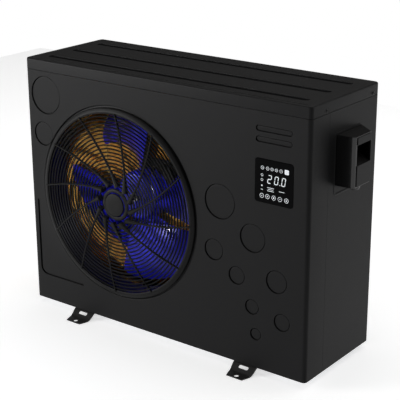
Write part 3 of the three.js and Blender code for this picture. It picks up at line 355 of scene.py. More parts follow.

# %% [markdown]
# ## Making pieces
# Every finished piece is a mesh whose place is in its points. `settle` gives a piece its finish,
# the body it moves with and the solid nodes it stands for.

# %% Helpers: from points and faces to a piece
def mark_edges(mesh, sharp, plane=None):
    """Smooth shading, except over edges sharper than the angle, and round a flat sheet's flat metal."""
    mesh.shade_smooth()
    mesh.set_sharp_from_angle(angle=math.radians(sharp))
    if plane:
        kinds = {}
        for face in mesh.polygons:
            for key in face.edge_keys:
                kinds.setdefault(key, set()).add(abs(face.normal.dot(Vector(plane))) > 0.9999)
        for edge in mesh.edges:
            edge.use_edge_sharp = edge.use_edge_sharp or len(kinds.get(edge.key, ())) == 2


def face_outwards(mesh):
    work = bmesh.new()
    work.from_mesh(mesh)
    bmesh.ops.recalc_face_normals(work, faces=work.faces)
    work.to_mesh(mesh)
    work.free()


def mesh_piece(name, points, faces, sharp=35, plane=None):
    """plane is the direction that a sheet's flat metal faces, so that it stays flat in shading."""
    mesh = bpy.data.meshes.new(name)
    mesh.from_pydata(points, [], faces)
    work = bmesh.new()
    work.from_mesh(mesh)
    bmesh.ops.remove_doubles(work, verts=work.verts, dist=1e-6)
    bmesh.ops.dissolve_degenerate(work, edges=work.edges, dist=1e-7)
    work.to_mesh(mesh)
    work.free()
    mark_edges(mesh, sharp, plane)
    return linked(name, mesh)


def thicken(piece, wall, bevel=0.0, segments=2, limit=40, plane=None, sharp=35):
    """Rounded edges stay a modifier; a wall is made once, and its edges are marked again."""
    if bevel:
        modifier = piece.modifiers.new("rounded_edges", "BEVEL")
        modifier.width, modifier.segments = bevel, segments
        modifier.limit_method, modifier.angle_limit = "ANGLE", math.radians(limit)
    if wall:
        modifier = piece.modifiers.new("wall", "SOLIDIFY")
        modifier.thickness, modifier.offset = abs(wall), -1 if wall > 0 else 0
        made = piece.evaluated_get(bpy.context.evaluated_depsgraph_get())
        solid = bpy.data.meshes.new_from_object(made)
        piece.modifiers.clear()
        solid.name = piece.name
        piece.data = solid
        mark_edges(solid, sharp, plane)
    return piece


def settle(piece, material, stands_for=(), body="cabinet"):
    if material:
        piece.data.materials.clear()
        piece.data.materials.append(material)
    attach(piece, body)
    if stands_for:
        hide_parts(*stands_for)
    return piece


# %% [markdown]
# ## Pressed sheet
# Most of the cabinet is sheet steel with shapes pressed into it: dishes, bars, grooves, channels.
# Each pressed shape is a few nested outlines, one at each depth, and the flat metal between is
# filled with triangles that keep to those outlines. A constrained Delaunay fill does this, so the
# round shapes stay truly round and the flat stays flat, with few faces.

# %% Helpers: outlines and pressed sheets
def on_circle(x, z, r, degrees):
    return x + r * math.cos(math.radians(degrees)), z + r * math.sin(math.radians(degrees))


def disc(x, z, r, sides=72):
    return [(x + r * math.cos(2 * math.pi * i / sides), z + r * math.sin(2 * math.pi * i / sides))
            for i in range(sides)]


def rounded(x0, x1, z0, z1, r, steps=8):
    corners = [(x1 - r, z0 + r, -90), (x1 - r, z1 - r, 0), (x0 + r, z1 - r, 90), (x0 + r, z0 + r, 180)]
    return [on_circle(x, z, r, a + 90 * i / steps) for x, z, a in corners for i in range(steps + 1)]


def ribbon(path, half, steps=8):
    """Outline of a groove of half width `half` along a path, with round ends."""
    path = [Vector(p) for p in path]
    ways = [(b - a).normalized() for a, b in zip(path, path[1:])]
    ways = [ways[0]] + [(a + b).normalized() for a, b in zip(ways, ways[1:])] + [ways[-1]]
    side = [Vector((-w.y, w.x)) * half for w in ways]

    def cap(centre, start):
        angle = math.atan2(start.y, start.x)
        turns = [angle - math.pi * i / steps for i in range(1, steps)]
        return [centre + half * Vector((math.cos(a), math.sin(a))) for a in turns]

    left_side = [p + s for p, s in zip(path, side)]
    right_side = [p - s for p, s in zip(path, side)]
    outline = left_side + cap(path[-1], side[-1]) + right_side[::-1] + cap(path[0], -side[0])
    return [tuple(p) for p in outline][::-1]


def inside(point, outline):
    x, z = point
    hit = False
    for (ax, az), (bx, bz) in zip(outline, outline[1:] + outline[:1]):
        if (az > z) != (bz > z) and x < (bx - ax) * (z - az) / (bz - az) + ax:
            hit = not hit
    return hit


def press(edge, shapes, holes, put):
    """Points and faces of a flat sheet. shapes: (outline, depth) pairs; put(u, v, depth) gives a point."""
    flat, depth, edges = [], [], []
    for outline, level in [(edge, 0.0)] + shapes + [(hole, None) for hole in holes]:
        start = len(flat)
        flat += [Vector(p) for p in outline]
        level = 0.0 if level is None else level
        depth += [level] * len(outline)
        edges += [(start + i, start + (i + 1) % len(outline)) for i in range(len(outline))]
    where, _, triangles, source, _, _ = delaunay_2d_cdt(flat, edges, [], 0, 1e-7, True)
    levels = [depth[ids[-1]] if ids else 0.0 for ids in source]
    kept = []
    for a, b, c in triangles:
        middle = (where[a] + where[b] + where[c]) / 3
        if inside(middle, edge) and not any(inside(middle, hole) for hole in holes):
            kept.append((a, b, c))
    return [put(p.x, p.y, level) for p, level in zip(where, levels)], kept


def stepped(outline_at, depth, wall):
    """Nested outlines that round a steep pressed wall: outline_at(inset) at growing depth."""
    return [(outline_at(0.0), 0.0), (outline_at(wall * 0.2), depth * 0.12),
            (outline_at(wall * 0.45), depth * 0.85), (outline_at(wall * 0.65), depth),
            (outline_at(wall), depth * 0.94)]


def creased(outline_at, depth, wall):
    """A dish whose floor lies at half depth, with a narrow crease round it that goes to full depth."""
    return [(outline_at(inset * wall), level * depth) for inset, level in
            ((0.0, 0.0), (0.10, 0.10), (0.26, 0.92), (0.32, 1.0), (0.56, 1.0), (0.64, 0.56), (1.0, 0.5))]


def strip(columns, low, high):
    """Upright wall through (x, y) columns, from low to high, facing left of the way it runs."""
    points = [(x, y, z) for x, y in columns for z in (low, high)]
    faces = [(2 * i, 2 * i + 2, 2 * i + 3, 2 * i + 1) for i in range(len(columns) - 1)]
    return points, faces


def merge(*parts):
    points, faces = [], []
    for some_points, some_faces in parts:
        faces += [tuple(i + len(points) for i in face) for face in some_faces]
        points += list(some_points)
    return points, faces


print("helpers ready; sheet", SHEET * 1000, "mm")

# %% [markdown]
# ## Front panel
# The panel carries the round seat of the fan guard, ten round dishes that look like rising
# bubbles, two pressed bars over the display, and an L-shaped groove in the lower left corner. Its
# two upright edges are rolled round the cabinet's corners and end in wings along the sides. The
# dishes are only 2.2 mm deep, with a narrow crease round the floor that reads as a dark line.

# %% Front panel
# Each dish: its middle from the cabinet's left edge and foot, and its radius, in millimetres.
BUBBLES = [(69, 595, 52), (55.2, 487, 33.6), (643.8, 414.4, 45.6), (741.6, 341.2, 37.2),
           (625.8, 285.4, 28.5), (695.4, 233.2, 24.3), (812.4, 244.6, 30.3), (742, 161.2, 20.4),
           (829.8, 142.6, 23.4), (753.6, 91, 16.5)]
BAR_LEVELS, BAR_ENDS, BAR_HALF = (592.5, 618.5), (748, 850), 7.6 * MM
GROOVE_LEFT, GROOVE_FOOT, GROOVE_TOP, GROOVE_RIGHT, GROOVE_BEND = 22.8, 77, 292, 177, 20
DISH_DEPTH, DISH_WALL = 4.4 * MM, 4.4 * MM
SEAT_R, SEAT_DEPTH, OPENING_R = 262 * MM, 4 * MM, 248 * MM
display_low, display_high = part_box("display_glass")


def front_x(from_left):
    return LEFT + from_left * MM


def front_z(from_foot):
    return FOOT + from_foot * MM


shapes = []
for x, z, r in BUBBLES:
    shapes += creased(lambda inset: disc(front_x(x), front_z(z), r * MM - inset), DISH_DEPTH, DISH_WALL)
for z in BAR_LEVELS:
    ends = [(front_x(BAR_ENDS[0] + 7.5), front_z(z)), (front_x(BAR_ENDS[1] - 7.5), front_z(z))]
    shapes += creased(lambda inset: ribbon(ends, BAR_HALF - inset), 4.0 * MM, 4 * MM)
bend = []
for a in range(0, 91, 10):
    bend.append((front_x(GROOVE_LEFT + GROOVE_BEND - GROOVE_BEND * math.cos(math.radians(a))),
                 front_z(GROOVE_FOOT + GROOVE_BEND - GROOVE_BEND * math.sin(math.radians(a)))))
groove = ([(front_x(GROOVE_LEFT), front_z(GROOVE_TOP))] + bend
          + [(front_x(GROOVE_RIGHT), front_z(GROOVE_FOOT))])
shapes += stepped(lambda inset: ribbon(groove, 3.4 * MM - inset), 4.4 * MM, 1.2 * MM)
for r, depth in ((SEAT_R + 1.5 * MM, 0.0), (SEAT_R, 1.0 * MM), (SEAT_R - 0.8 * MM, SEAT_DEPTH),
                 (OPENING_R, SEAT_DEPTH)):
    shapes.append((disc(FAN.x, FAN.z, r, 144), depth))
window = rounded(display_low.x - 0.4 * MM, display_high.x + 0.4 * MM, display_low.z - 0.4 * MM,
                 display_high.z + 0.4 * MM, 8.4 * MM)
flat_edge = [(LEFT + CORNER, PANEL_LOW), (RIGHT - CORNER, PANEL_LOW),
             (RIGHT - CORNER, PANEL_HIGH), (LEFT + CORNER, PANEL_HIGH)]
opening = disc(FAN.x, FAN.z, OPENING_R, 144)
face = press(flat_edge, shapes, [opening, window], lambda x, z, depth: (x, FRONT + depth, z))


def corner_columns(cx, cy, start, steps=8):
    return [on_circle(cx, cy, CORNER, start + 90 * i / steps) for i in range(steps + 1)]


WING_END = FRONT + 79 * MM
left_wing = [(LEFT, WING_END)] + corner_columns(LEFT + CORNER, FRONT + CORNER, 180)
right_wing = corner_columns(RIGHT - CORNER, FRONT + CORNER, 270) + [(RIGHT, WING_END)]
wings = [strip(columns, PANEL_LOW, PANEL_HIGH) for columns in (left_wing, right_wing)]
panel = mesh_piece("front_panel_pressed", *merge(face, *wings))
thicken(panel, SHEET, plane=(0, 1, 0), sharp=12)
settle(panel, paint, ["front_panel"])
print("front panel:", len(panel.data.polygons), "faces,", len(BUBBLES), "dishes")

# %% [markdown]
# ## Top cover
# A shallow lid with a 30 mm skirt. Three long channels are pressed along it, to stiffen it and to
# lead rain to its ends. Its upper edge is folded round about 5 mm, which gives the bright line
# along the front. The edge is a loft: the same rounded rectangle, larger and lower at each step.

# %% Top cover
CHANNELS = [[(LEFT + 50 * MM, FRONT + y * MM), (RIGHT - 50 * MM, FRONT + y * MM)] for y in (52, 146, 246)]
channels = []
for path in CHANNELS:
    channels += stepped(lambda inset: ribbon(path, 11 * MM - inset, 12), 3.6 * MM, 3 * MM)
path = [(LEFT + 14 * MM, FRONT + 11 * MM), (RIGHT - 14 * MM, FRONT + 11 * MM)]
channels += stepped(lambda inset: ribbon(path, 2.6 * MM - inset, 12), 1.8 * MM, 2 * MM)
EDGE_R = 4.5 * MM


def lid_outline(inset):
    return rounded(LEFT + inset, RIGHT - inset, FRONT + inset, BACK - inset, CORNER - inset * 0.6)


top = press(lid_outline(EDGE_R), channels, [], lambda x, y, depth: (x, y, TOP - depth))
loops = [[(x, y, TOP - EDGE_R * (1 - math.cos(math.radians(a)))) for x, y in
          lid_outline(EDGE_R * (1 - math.sin(math.radians(a))))] for a in range(0, 91, 10)]
loops += [[(x, y, SEAM + 1 * MM) for x, y in lid_outline(0)],
          [(x, y, SEAM) for x, y in lid_outline(0.5 * MM)]]


def loft(loops):
    count = len(loops[0])
    points = [p for loop in loops for p in loop]
    faces = []
    for k in range(len(loops) - 1):
        for i in range(count):
            j = (i + 1) % count
            faces.append((k * count + i, (k + 1) * count + i, (k + 1) * count + j, k * count + j))
    return points, faces


lid = mesh_piece("top_cover_pressed", *merge(top, loft(loops)))
thicken(lid, SHEET, plane=(0, 0, 1), sharp=12)
settle(lid, paint, ["top_cover"])
print("top cover:", len(lid.data.polygons), "faces")

# %% [markdown]
# A thin strip lies along the floor of each channel. Its near-black colour is painted shade: it darkens the
# channels as the shade in them would.

# %% Painted shade strips in the channels
shade_strips = []
for path in CHANNELS:
    shade_strips.append(press(ribbon(path, 7.6 * MM, 12), [(ribbon(path, 5.0 * MM, 12), -0.5 * MM)], [],
                       lambda x, y, depth: (x, y, TOP - 1.4 * MM - depth)))
shade_strip = thicken(mesh_piece("channel_beads", *merge(*shade_strips)), 0.8 * MM)
settle(shade_strip, channel_shade_paint)
print("beads in", len(shade_strips), "channels")

# %% [markdown]
# ## Side and rear panels
# The right side panel starts where the front panel's wing ends, runs to the back and turns 30 mm
# round the rear corner. A low ridge frames the place where the shroud is screwed on. The rear panel
# closes the compressor bay, with a raised ring round each water port. The left rear corner is a post.

# %% Right side panel, rear panel and corner post
side_low = WING_END + 0.6 * MM
RIDGE_HEIGHT = 1.0 * MM


def ridge(inset):
    return rounded(FRONT + 104 * MM + inset, FRONT + 230 * MM - inset, front_z(450) + inset,
                   front_z(606) - inset, 12 * MM - inset)


frame_ridge = [(ridge(0), 0.0), (ridge(1.5 * MM), -RIDGE_HEIGHT), (ridge(4.5 * MM), -RIDGE_HEIGHT),
               (ridge(6 * MM), 0.0)]
wire_hole = rounded(FRONT + 153 * MM, FRONT + 193 * MM, 0.530, 0.590, 4 * MM)
side_edge = [(side_low, PANEL_LOW), (BACK - CORNER, PANEL_LOW), (BACK - CORNER, PANEL_HIGH),
             (side_low, PANEL_HIGH)]
side_face = press(side_edge, frame_ridge, [wire_hole], lambda y, z, depth: (RIGHT - depth, y, z))
rear_columns = corner_columns(RIGHT - CORNER, BACK - CORNER, 0) + [(RIGHT - 30 * MM, BACK)]
rear_wing = strip(rear_columns, PANEL_LOW, PANEL_HIGH)
side_panel = mesh_piece("right_side_panel_pressed", *merge(side_face, rear_wing))
thicken(side_panel, SHEET, plane=(1, 0, 0), sharp=12)
settle(side_panel, paint, ["right_side_panel"])

post_columns = ([(LEFT + 30 * MM, BACK)] + corner_columns(LEFT + CORNER, BACK - CORNER, 90)
                + [(LEFT, BACK - 44 * MM)])
post = thicken(mesh_piece("rear_corner_post_folded", *strip(post_columns, PANEL_LOW, PANEL_HIGH)), SHEET)
settle(post, paint, ["rear_corner_post"])

rear_low, rear_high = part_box("rear_panel")
ports = [centre("water_inlet_port"), centre("water_outlet_port")]
rings, port_holes = [], []
for port in ports:
    for r, depth in ((43, 0.0), (41.5, -1.2), (36, -1.2), (34.5, 0.0)):
        rings.append((disc(port.x, port.z, r * MM), depth * MM))
    port_holes.append(disc(port.x, port.z, 27 * MM))
rear_edge = [(rear_low.x, rear_low.z), (rear_high.x, rear_low.z), (rear_high.x, rear_high.z),
             (rear_low.x, rear_high.z)]
points, faces = press(rear_edge, rings, port_holes, lambda x, z, depth: (x, BACK - depth, z))
rear_panel = mesh_piece("rear_panel_pressed", points, [f[::-1] for f in faces])
thicken(rear_panel, SHEET, plane=(0, 1, 0))
settle(rear_panel, paint, ["rear_panel"])
print("side panel", len(side_panel.data.polygons), "faces; rear panel", len(rear_panel.data.polygons))

# %% [markdown]
# ## Feet
# Each foot is one strip of black sheet under the cabinet. Its ends come out at the front and back,
# bend down and lie on the ground as tips with a round bolt hole. Higher up there is a slot, and the
# strip widens in a curve towards the cabinet. The plan is filled flat, with cross lines, and then
# each point drops to its height by a smooth curve along the strip.

# %% Feet
TIP = FRONT - 46 * MM


def foot_height(y):
    """Height of the strip's upper face at a distance along the cabinet's depth."""
    reach = max(FRONT - y, y - BACK) / MM
    t = min(max((reach + 8) / 30, 0), 1)
    return (19.6 - 17.1 * t * t * (3 - 2 * t)) * MM


def foot_half(y):
    reach = max(FRONT - y, y - BACK) / MM
    t = min(max((46 - reach) / 52, 0), 1)
    return (23.5 + 11.5 * math.sin(t * math.pi / 2)) * MM


def foot(name, node):
    x = centre(node).x
    end = BACK + 46 * MM
    stations = [TIP + i * 3 * MM for i in range(20)]
    stations += [TIP + 60 * MM + i * (end - TIP - 120 * MM) / 6 for i in range(1, 6)]
    stations += [end - i * 3 * MM for i in range(19, -1, -1)]
    outline = [(x + foot_half(y), y) for y in stations]
    outline += [(x - foot_half(y), y) for y in reversed(stations)]
    holes, lines = [], []
    for tip, way in ((TIP, 1), (end, -1)):
        holes.append(disc(x, tip + way * 11 * MM, 6.2 * MM, 32))
        middle = tip + way * 41 * MM
        holes.append(ribbon([(x - 11 * MM, middle), (x + 11 * MM, middle)], 3.6 * MM))
    for y in stations[1:-1]:
        lines.append(([(x - foot_half(y) * 0.98, y), (x + foot_half(y) * 0.98, y)], 0.0))
    points, faces = press(outline, lines, holes, lambda u, v, depth: (u, v, foot_height(v)))
    piece = thicken(mesh_piece(name, points, faces, sharp=60), 2.4 * MM)
    return settle(piece, black_paint, [node])


feet = [foot("foot_left_bent", "foot_rail_left"), foot("foot_right_bent", "foot_rail_right")]
print("feet:", [len(f.data.polygons) for f in feet], "faces")

# %% [markdown]
# ## Turned pieces
# Rims, caps and hubs are round about an axis that runs front to back.
# A turned piece is a profile of (radius, distance) pairs carried round the axis. A profile that
# begins and ends on the axis closes itself; any other is joined end to start.

# %% Helper: turned pieces
def turned(name, profile, axis_at, sides=96, sharp=30):
    on_axis = profile[0][0] < 1e-9 and profile[-1][0] < 1e-9
    points, faces = [], []
    for i in range(sides):
        angle = 2 * math.pi * i / sides
        for r, along in profile:
            u, v = r * math.cos(angle), r * math.sin(angle)
            points.append((axis_at.x + u, along, axis_at.z + v))
    n = len(profile)
    spans = range(n - 1) if on_axis else range(n)
    for i in range(sides):
        for j in spans:
            a, b = i * n + j, i * n + (j + 1) % n
            c, d = ((i + 1) % sides) * n + (j + 1) % n, ((i + 1) % sides) * n + j
            faces.append((a, b, c, d))
    piece = mesh_piece(name, points, faces, sharp)
    face_outwards(piece.data)
    return piece


def arc(cx, cy, r, start, end, steps=6):
    return [on_circle(cx, cy, r, start + (end - start) * i / steps) for i in range(steps + 1)]


def in_mm(pairs, plane):
    """A profile given in millimetres: radius, and distance behind a plane."""
    return [(r * MM, plane + along * MM) for r, along in pairs]


print("turning helpers ready")


# %% [markdown]
# ## Geometry Nodes: one small builder
# A tree is built in the script with named inputs. `grow` puts it on a carrier mesh, sets the
# inputs by their identifiers, evaluates it, and keeps the result as a plain mesh.

# %% Helper: grow a mesh from a geometry tree
def grow(name, tree, values, carrier_points=((0, 0, 0),), carrier_edges=(), sharp=35):
    mesh = bpy.data.meshes.new(name + "_carrier")
    mesh.from_pydata([tuple(p) for p in carrier_points], list(carrier_edges), [])
    carrier = linked(name + "_carrier", mesh)
    modifier = carrier.modifiers.new("tree", "NODES")
    modifier.node_group = tree
    for item in tree.interface.items_tree:
        if item.item_type == "SOCKET" and item.in_out == "INPUT" and item.name in values:
            modifier[item.identifier] = values[item.name]
    evaluated = carrier.evaluated_get(bpy.context.evaluated_depsgraph_get())
    result = bpy.data.meshes.new_from_object(evaluated)
    carrier.modifiers.remove(modifier)
    bpy.data.objects.remove(carrier)
    result.name = name
    mark_edges(result, sharp)
    print("grew", name, len(result.polygons), "faces")
    return linked(name, result)


def geometry_tree(name, inputs):
    """A tree with its sockets, and a function that adds a geometry node by its short name."""
    tree, given, result = new_group(name, "GeometryNodeTree", [("Geometry", "Geometry", None)] + inputs,
                                    [("Geometry", "Geometry")])

    def node(kind, sockets=None, **properties):
        return first(tree, "GeometryNode" + kind, sockets, **properties)

    return tree, given, result, node


def joined(tree, *geometries):
    join = add(tree, "GeometryNodeJoinGeometry")
    for geometry in geometries:
        tree.links.new(geometry, join.inputs[0])
    return join.outputs[0]


def finish_tree(tree, node, geometry, material, result):
    real = node("RealizeInstances", {"Geometry": geometry})
    tree.links.new(node("SetMaterial", {"Geometry": real, "Material": material}), result["Geometry"])


print("geometry helpers ready")


# %% [markdown]
# ## Fan guard
# The guard is one moulding: twenty rings 9.5 mm apart, and twelve spokes that leave the hub
# sideways and straighten out towards the rim. Seen from the front, a spoke is part of a parabola:
# its offset to one side shrinks with the square of the way along it. The rings are one circle,
# instanced on a row of points with a growing scale; the spokes are one bent line, instanced round
# the hub. Both get their section with Curve to Mesh, so their thickness doesn't scale.

# %% Tree: rings and spokes
guard_tree, given, result, node = geometry_tree("guard_rings_and_spokes", [
    ("Rings", "Int", 20), ("First radius", "Float", 0.0554), ("Pitch", "Float", 0.0095),
    ("Ring width", "Float", 0.0034), ("Ring depth", "Float", 0.0054),
    ("Spokes", "Int", 12), ("First angle", "Float", 0.5), ("Spoke start", "Float", 0.040),
    ("Spoke end", "Float", 0.2465), ("Sideways", "Float", 0.0335), ("Spoke width", "Float", 0.0040),
    ("Finish", "Material", None)])
radius = maths(guard_tree, "MULTIPLY_ADD", node("InputIndex"), given["Pitch"], given["First radius"])
hoops = node("RealizeInstances", {"Geometry": node("InstanceOnPoints", {
    "Points": node("MeshLine", {"Count": given["Rings"], "Offset": (0, 0, 0)}),
    "Instance": node("CurvePrimitiveCircle", {"Resolution": 112, "Radius": 1.0}),
    "Scale": vector(guard_tree, X=radius, Y=radius, Z=1.0)})})
section = node("CurvePrimitiveQuadrilateral", {"Width": given["Ring width"], "Height": given["Ring depth"]})
section = node("FilletCurve", {"Curve": section, "Limit Radius": True,
                               "Radius": maths(guard_tree, "MULTIPLY", given["Ring width"], 0.45)})
rings = node("CurveToMesh", {"Curve": hoops, "Profile Curve": section})

line = node("ResampleCurve", {"Curve": node("CurvePrimitiveLine", {"End": (1, 0, 0)}), "Count": 22})
way = node("SplineParameter")
reach = maths(guard_tree, "SUBTRACT", given["Spoke end"], given["Spoke start"])
along = maths(guard_tree, "MULTIPLY_ADD", way, reach, given["Spoke start"])
short = maths(guard_tree, "SUBTRACT", 1.0, maths(guard_tree, "MULTIPLY", way, way))
aside = maths(guard_tree, "MULTIPLY", maths(guard_tree, "MULTIPLY", short, given["Sideways"]), -1.0)
bent = node("SetPosition", {"Geometry": line, "Position": vector(guard_tree, X=along, Y=aside)})
step = maths(guard_tree, "DIVIDE", 2 * math.pi, given["Spokes"])
angle = maths(guard_tree, "MULTIPLY_ADD", node("InputIndex"), step, given["First angle"])
spokes = node("RealizeInstances", {"Geometry": node("InstanceOnPoints", {
    "Points": node("MeshLine", {"Count": given["Spokes"], "Offset": (0, 0, 0)}), "Instance": bent,
    "Rotation": first(guard_tree, "FunctionNodeAxisAngleToRotation", {"Axis": (0, 0, 1), "Angle": angle})})})
bar = node("CurvePrimitiveQuadrilateral", {
    "Width": given["Spoke width"], "Height": maths(guard_tree, "MULTIPLY", given["Ring depth"], 1.15)})
bar = node("FilletCurve", {"Curve": bar, "Radius": maths(guard_tree, "MULTIPLY", given["Spoke width"], 0.3)})
thick = first(guard_tree, "ShaderNodeMapRange",
              {"Value": way, "From Max": 0.22, "To Min": 3.3, "To Max": 1.0})
spoke_mesh = node("CurveToMesh", {"Curve": spokes, "Profile Curve": bar, "Scale": thick, "Fill Caps": True})
upright = node("Transform", {"Geometry": joined(guard_tree, rings, spoke_mesh),
                             "Translation": (FAN.x, FRONT - 7.5 * MM, FAN.z),
                             "Rotation": Euler((math.radians(90), 0, 0))})
finish_tree(guard_tree, node, upright, given["Finish"], result)

FIRST_SPOKE = math.radians(28.5)
guard_rings = grow("guard_rings_and_spokes", guard_tree,
                   {"First angle": FIRST_SPOKE, "Finish": guard_plastic})

# %% [markdown]
# The guard's rim is a rounded bead that bridges from the panel's seat to the rings. Round the hub
# there is a raised collar, and a plain round cap closes the middle.

# %% Guard rim, collar and hub cap
rim_profile = (in_mm([(250.5, 3.6), (257.2, 3.6), (257.6, 0.5)], FRONT)
               + arc(253.4 * MM, FRONT - 1.6 * MM, 4.2 * MM, 20, -70)
               + in_mm([(250.4, -7.4), (247.6, -8.4), (245.5, -8.4), (242.6, -7.6), (242.2, -5.0),
                        (246, -4.2), (250.5, -1.0)], FRONT))
rim = turned("guard_rim", rim_profile, FAN, sides=160, sharp=50)
collar_profile = in_mm([(33.6, -5), (43.6, -5), (43.4, -7.4), (41.6, -9.0), (36, -9.4), (33.8, -8.8)], FRONT)
collar = turned("guard_collar", collar_profile, FAN, sharp=50)
cap_profile = in_mm([(0, -8.6), (30.8, -8.6), (30.8, -11.2), (30.0, -12.4), (28.2, -12.9), (12, -13.0),
                     (0, -13.0)], FRONT)
cap = turned("guard_hub_button", cap_profile, FAN, sharp=40)
settle(guard_rings, guard_plastic, ["fan_guard"])
settle(rim, guard_plastic)
settle(collar, guard_plastic)
settle(cap, guard_plastic, ["guard_hub_cap"])
print("guard:", [len(piece.data.polygons) for piece in (guard_rings, rim, collar, cap)], "faces")

# %% [markdown]
# ## Fan
# Four broad blades stand on a blue hub. A blade is part of a screw surface: its depth grows with
# the angle from its trailing edge. It sweeps wider towards the tip, its corners are rounded, and
# it thins towards its edges. The grid runs from hub to tip and from edge to edge, once for the
# front face and once for the back, and the two are sewn round the border.

# %% Fan blades and hub
BLADE_RISE, TRAILING_ANGLE, TRAILING_DEPTH = 1.5 * MM, 76.8, 75 * MM
ROOT_SWEEP, EXTRA_SWEEP, BLADES = 35, 53, 4
HUB_R, TIP_R = 67.5 * MM, 241.5 * MM


def blade(turn_by, across=26, along=30):
    points = []
    for side in (0, 1):
        for i in range(across + 1):
            t = i / across
            r = HUB_R - 3 * MM + (TIP_R - HUB_R + 3 * MM) * t
            sweep = ROOT_SWEEP + EXTRA_SWEEP * t
            corner = max(0.0, (t - 0.86) / 0.14)
            trim = 9.0 * (1 - math.sqrt(max(0.0, 1 - corner * corner)))
            for j in range(along + 1):
                u = j / along
                a = (trim + (sweep - 2 * trim) * u)
                edge = min(u, 1 - u) * 6
                half = 1.35 * MM * math.sqrt(min(1.0, edge)) * (1 - 0.35 * t) + 0.12 * MM
                camber = 5 * MM * math.sin(math.pi * u) * (0.3 + 0.7 * t)
                angle = math.radians(TRAILING_ANGLE + turn_by + a)
                y = (FRONT + TRAILING_DEPTH + 2 * MM + BLADE_RISE * a - camber * 0.6
                     + (half if side else -half))
                points.append((FAN.x + r * math.cos(angle), y, FAN.z + r * math.sin(angle)))
    n, m = across + 1, along + 1
    faces = []

    def spot(side, i, j):
        return side * n * m + i * m + j

    for i in range(across):
        for j in range(along):
            faces.append((spot(0, i, j), spot(0, i + 1, j), spot(0, i + 1, j + 1), spot(0, i, j + 1)))
            faces.append((spot(1, i, j), spot(1, i, j + 1), spot(1, i + 1, j + 1), spot(1, i + 1, j)))
        for j, flip in ((0, 1), (along, 0)):
            quad = (spot(0, i, j), spot(1, i, j), spot(1, i + 1, j), spot(0, i + 1, j))
            faces.append(quad if flip else quad[::-1])
    for j in range(along):
        for i, flip in ((0, 0), (across, 1)):
            quad = (spot(0, i, j), spot(1, i, j), spot(1, i, j + 1), spot(0, i, j + 1))
            faces.append(quad if flip else quad[::-1])
    return points, faces


blades = mesh_piece("fan_blades", *merge(*[blade(360 / BLADES * k) for k in range(BLADES)]), sharp=60)
face_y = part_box("fan")[0].y
hub_profile = (in_mm([(6.2, 1), (30, 0.6), (52, 1.2)], face_y)
               + arc(55 * MM, face_y + 14 * MM, 12.6 * MM, -85, 0, 7)
               + in_mm([(67.6, 58), (64, 58), (63, 16), (54, 6), (16, 6), (16, 48), (6.2, 48)], face_y))
hub = turned("fan_hub", hub_profile, FAN, sharp=40)
settle(blades, blue_plastic, ["fan"], body="fan_rotor")
settle(hub, blue_plastic, body="fan_rotor")
print("fan:", BLADES, "blades,", len(blades.data.polygons), "faces")

# %% [markdown]
# ## Evaporator coil
# The coil is hundreds of thin gold-coated fins, threaded on copper tubes that run along the L. One
# plate is instanced along the L every 2.6 mm and turned across the path; the tubes are the same
# path, copied up the coil and given a round section. The fin count comes from the path's length.

# %% Tree: fins along a path, and tubes along it
fin_tree, given, result, node = geometry_tree("fins_on_a_path", [
    ("Fin gap", "Float", 0.0026), ("Fin thickness", "Float", 0.0009), ("Fin depth", "Float", 0.036),
    ("Fin height", "Float", 0.64), ("Finish", "Material", None)])
path = node("ResampleCurve", {"Curve": node("MeshToCurve", {"Mesh": given["Geometry"]}),
                              "Length": given["Fin gap"]}, mode="LENGTH")
across = first(fin_tree, "FunctionNodeAlignRotationToVector", {"Vector": node("InputTangent")},
               axis="X", pivot_axis="Z")
plate = node("MeshCube", {"Size": vector(fin_tree, X=given["Fin thickness"], Y=given["Fin depth"],
                                         Z=given["Fin height"])})
fins = node("InstanceOnPoints", {"Points": path, "Instance": plate, "Rotation": across})
finish_tree(fin_tree, node, fins, given["Finish"], result)

tube_tree, given, result, node = geometry_tree("tubes_on_a_path", [
    ("Tubes", "Int", 24), ("Tube gap", "Float", 0.026), ("Tube radius", "Float", 0.004),
    ("Finish", "Material", None)])
lift = maths(tube_tree, "MULTIPLY", node("InputIndex"), given["Tube gap"])
levels = node("SetPosition", {"Geometry": node("MeshLine", {"Count": given["Tubes"], "Offset": (0, 0, 0)}),
                              "Offset": vector(tube_tree, Z=lift)})
runs = node("RealizeInstances", {"Geometry": node("InstanceOnPoints", {
    "Points": levels, "Instance": node("MeshToCurve", {"Mesh": given["Geometry"]})})})
tubes = node("CurveToMesh", {"Curve": runs, "Fill Caps": True, "Profile Curve": node(
    "CurvePrimitiveCircle", {"Resolution": 10, "Radius": given["Tube radius"]})})
finish_tree(tube_tree, node, tubes, given["Finish"], result)

# %% [markdown]
# The coil's path is an L with a quarter turn, through the middle of the solid coil. Both trees grow
# along it, so the fins and the tubes stay together.

# %% Coil: fins and tubes along the L
coil_low, coil_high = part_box("evaporator_coil")
DEPTH = 38 * MM
bend_at = Vector((coil_low.x + 60 * MM, coil_high.y - 60 * MM))
mid_r = 60 * MM - DEPTH / 2
middle_path = ([(coil_low.x + DEPTH / 2, coil_low.y + 1 * MM)]
               + [on_circle(bend_at.x, bend_at.y, mid_r, a) for a in range(180, 89, -9)]
               + [(coil_high.x - 1 * MM, coil_high.y - DEPTH / 2)])
mid_z = (coil_low.z + coil_high.z) / 2
chain = [(i, i + 1) for i in range(len(middle_path) - 1)]
fins = grow("coil_fins", fin_tree, {"Fin height": coil_high.z - coil_low.z - 1 * MM, "Finish": gold_fin},
            [(x, y, mid_z) for x, y in middle_path], chain)
settle(fins, None, ["evaporator_coil"])
tube_rows = grow("coil_tubes", tube_tree, {"Tubes": 25, "Finish": copper},
                 [(x, y, coil_low.z + 22 * MM) for x, y in middle_path], chain)
settle(tube_rows, None)

# %% [markdown]
# ## Wire grilles over the coil
# The coil is open to the air at the back and on the left. Each opening is closed by a grille of
# bent wire, welded where the wires cross, in a frame of flat bar. One tree makes any grille: two
# rows of straight wires, each row a line instanced at an even pitch that fits the opening.

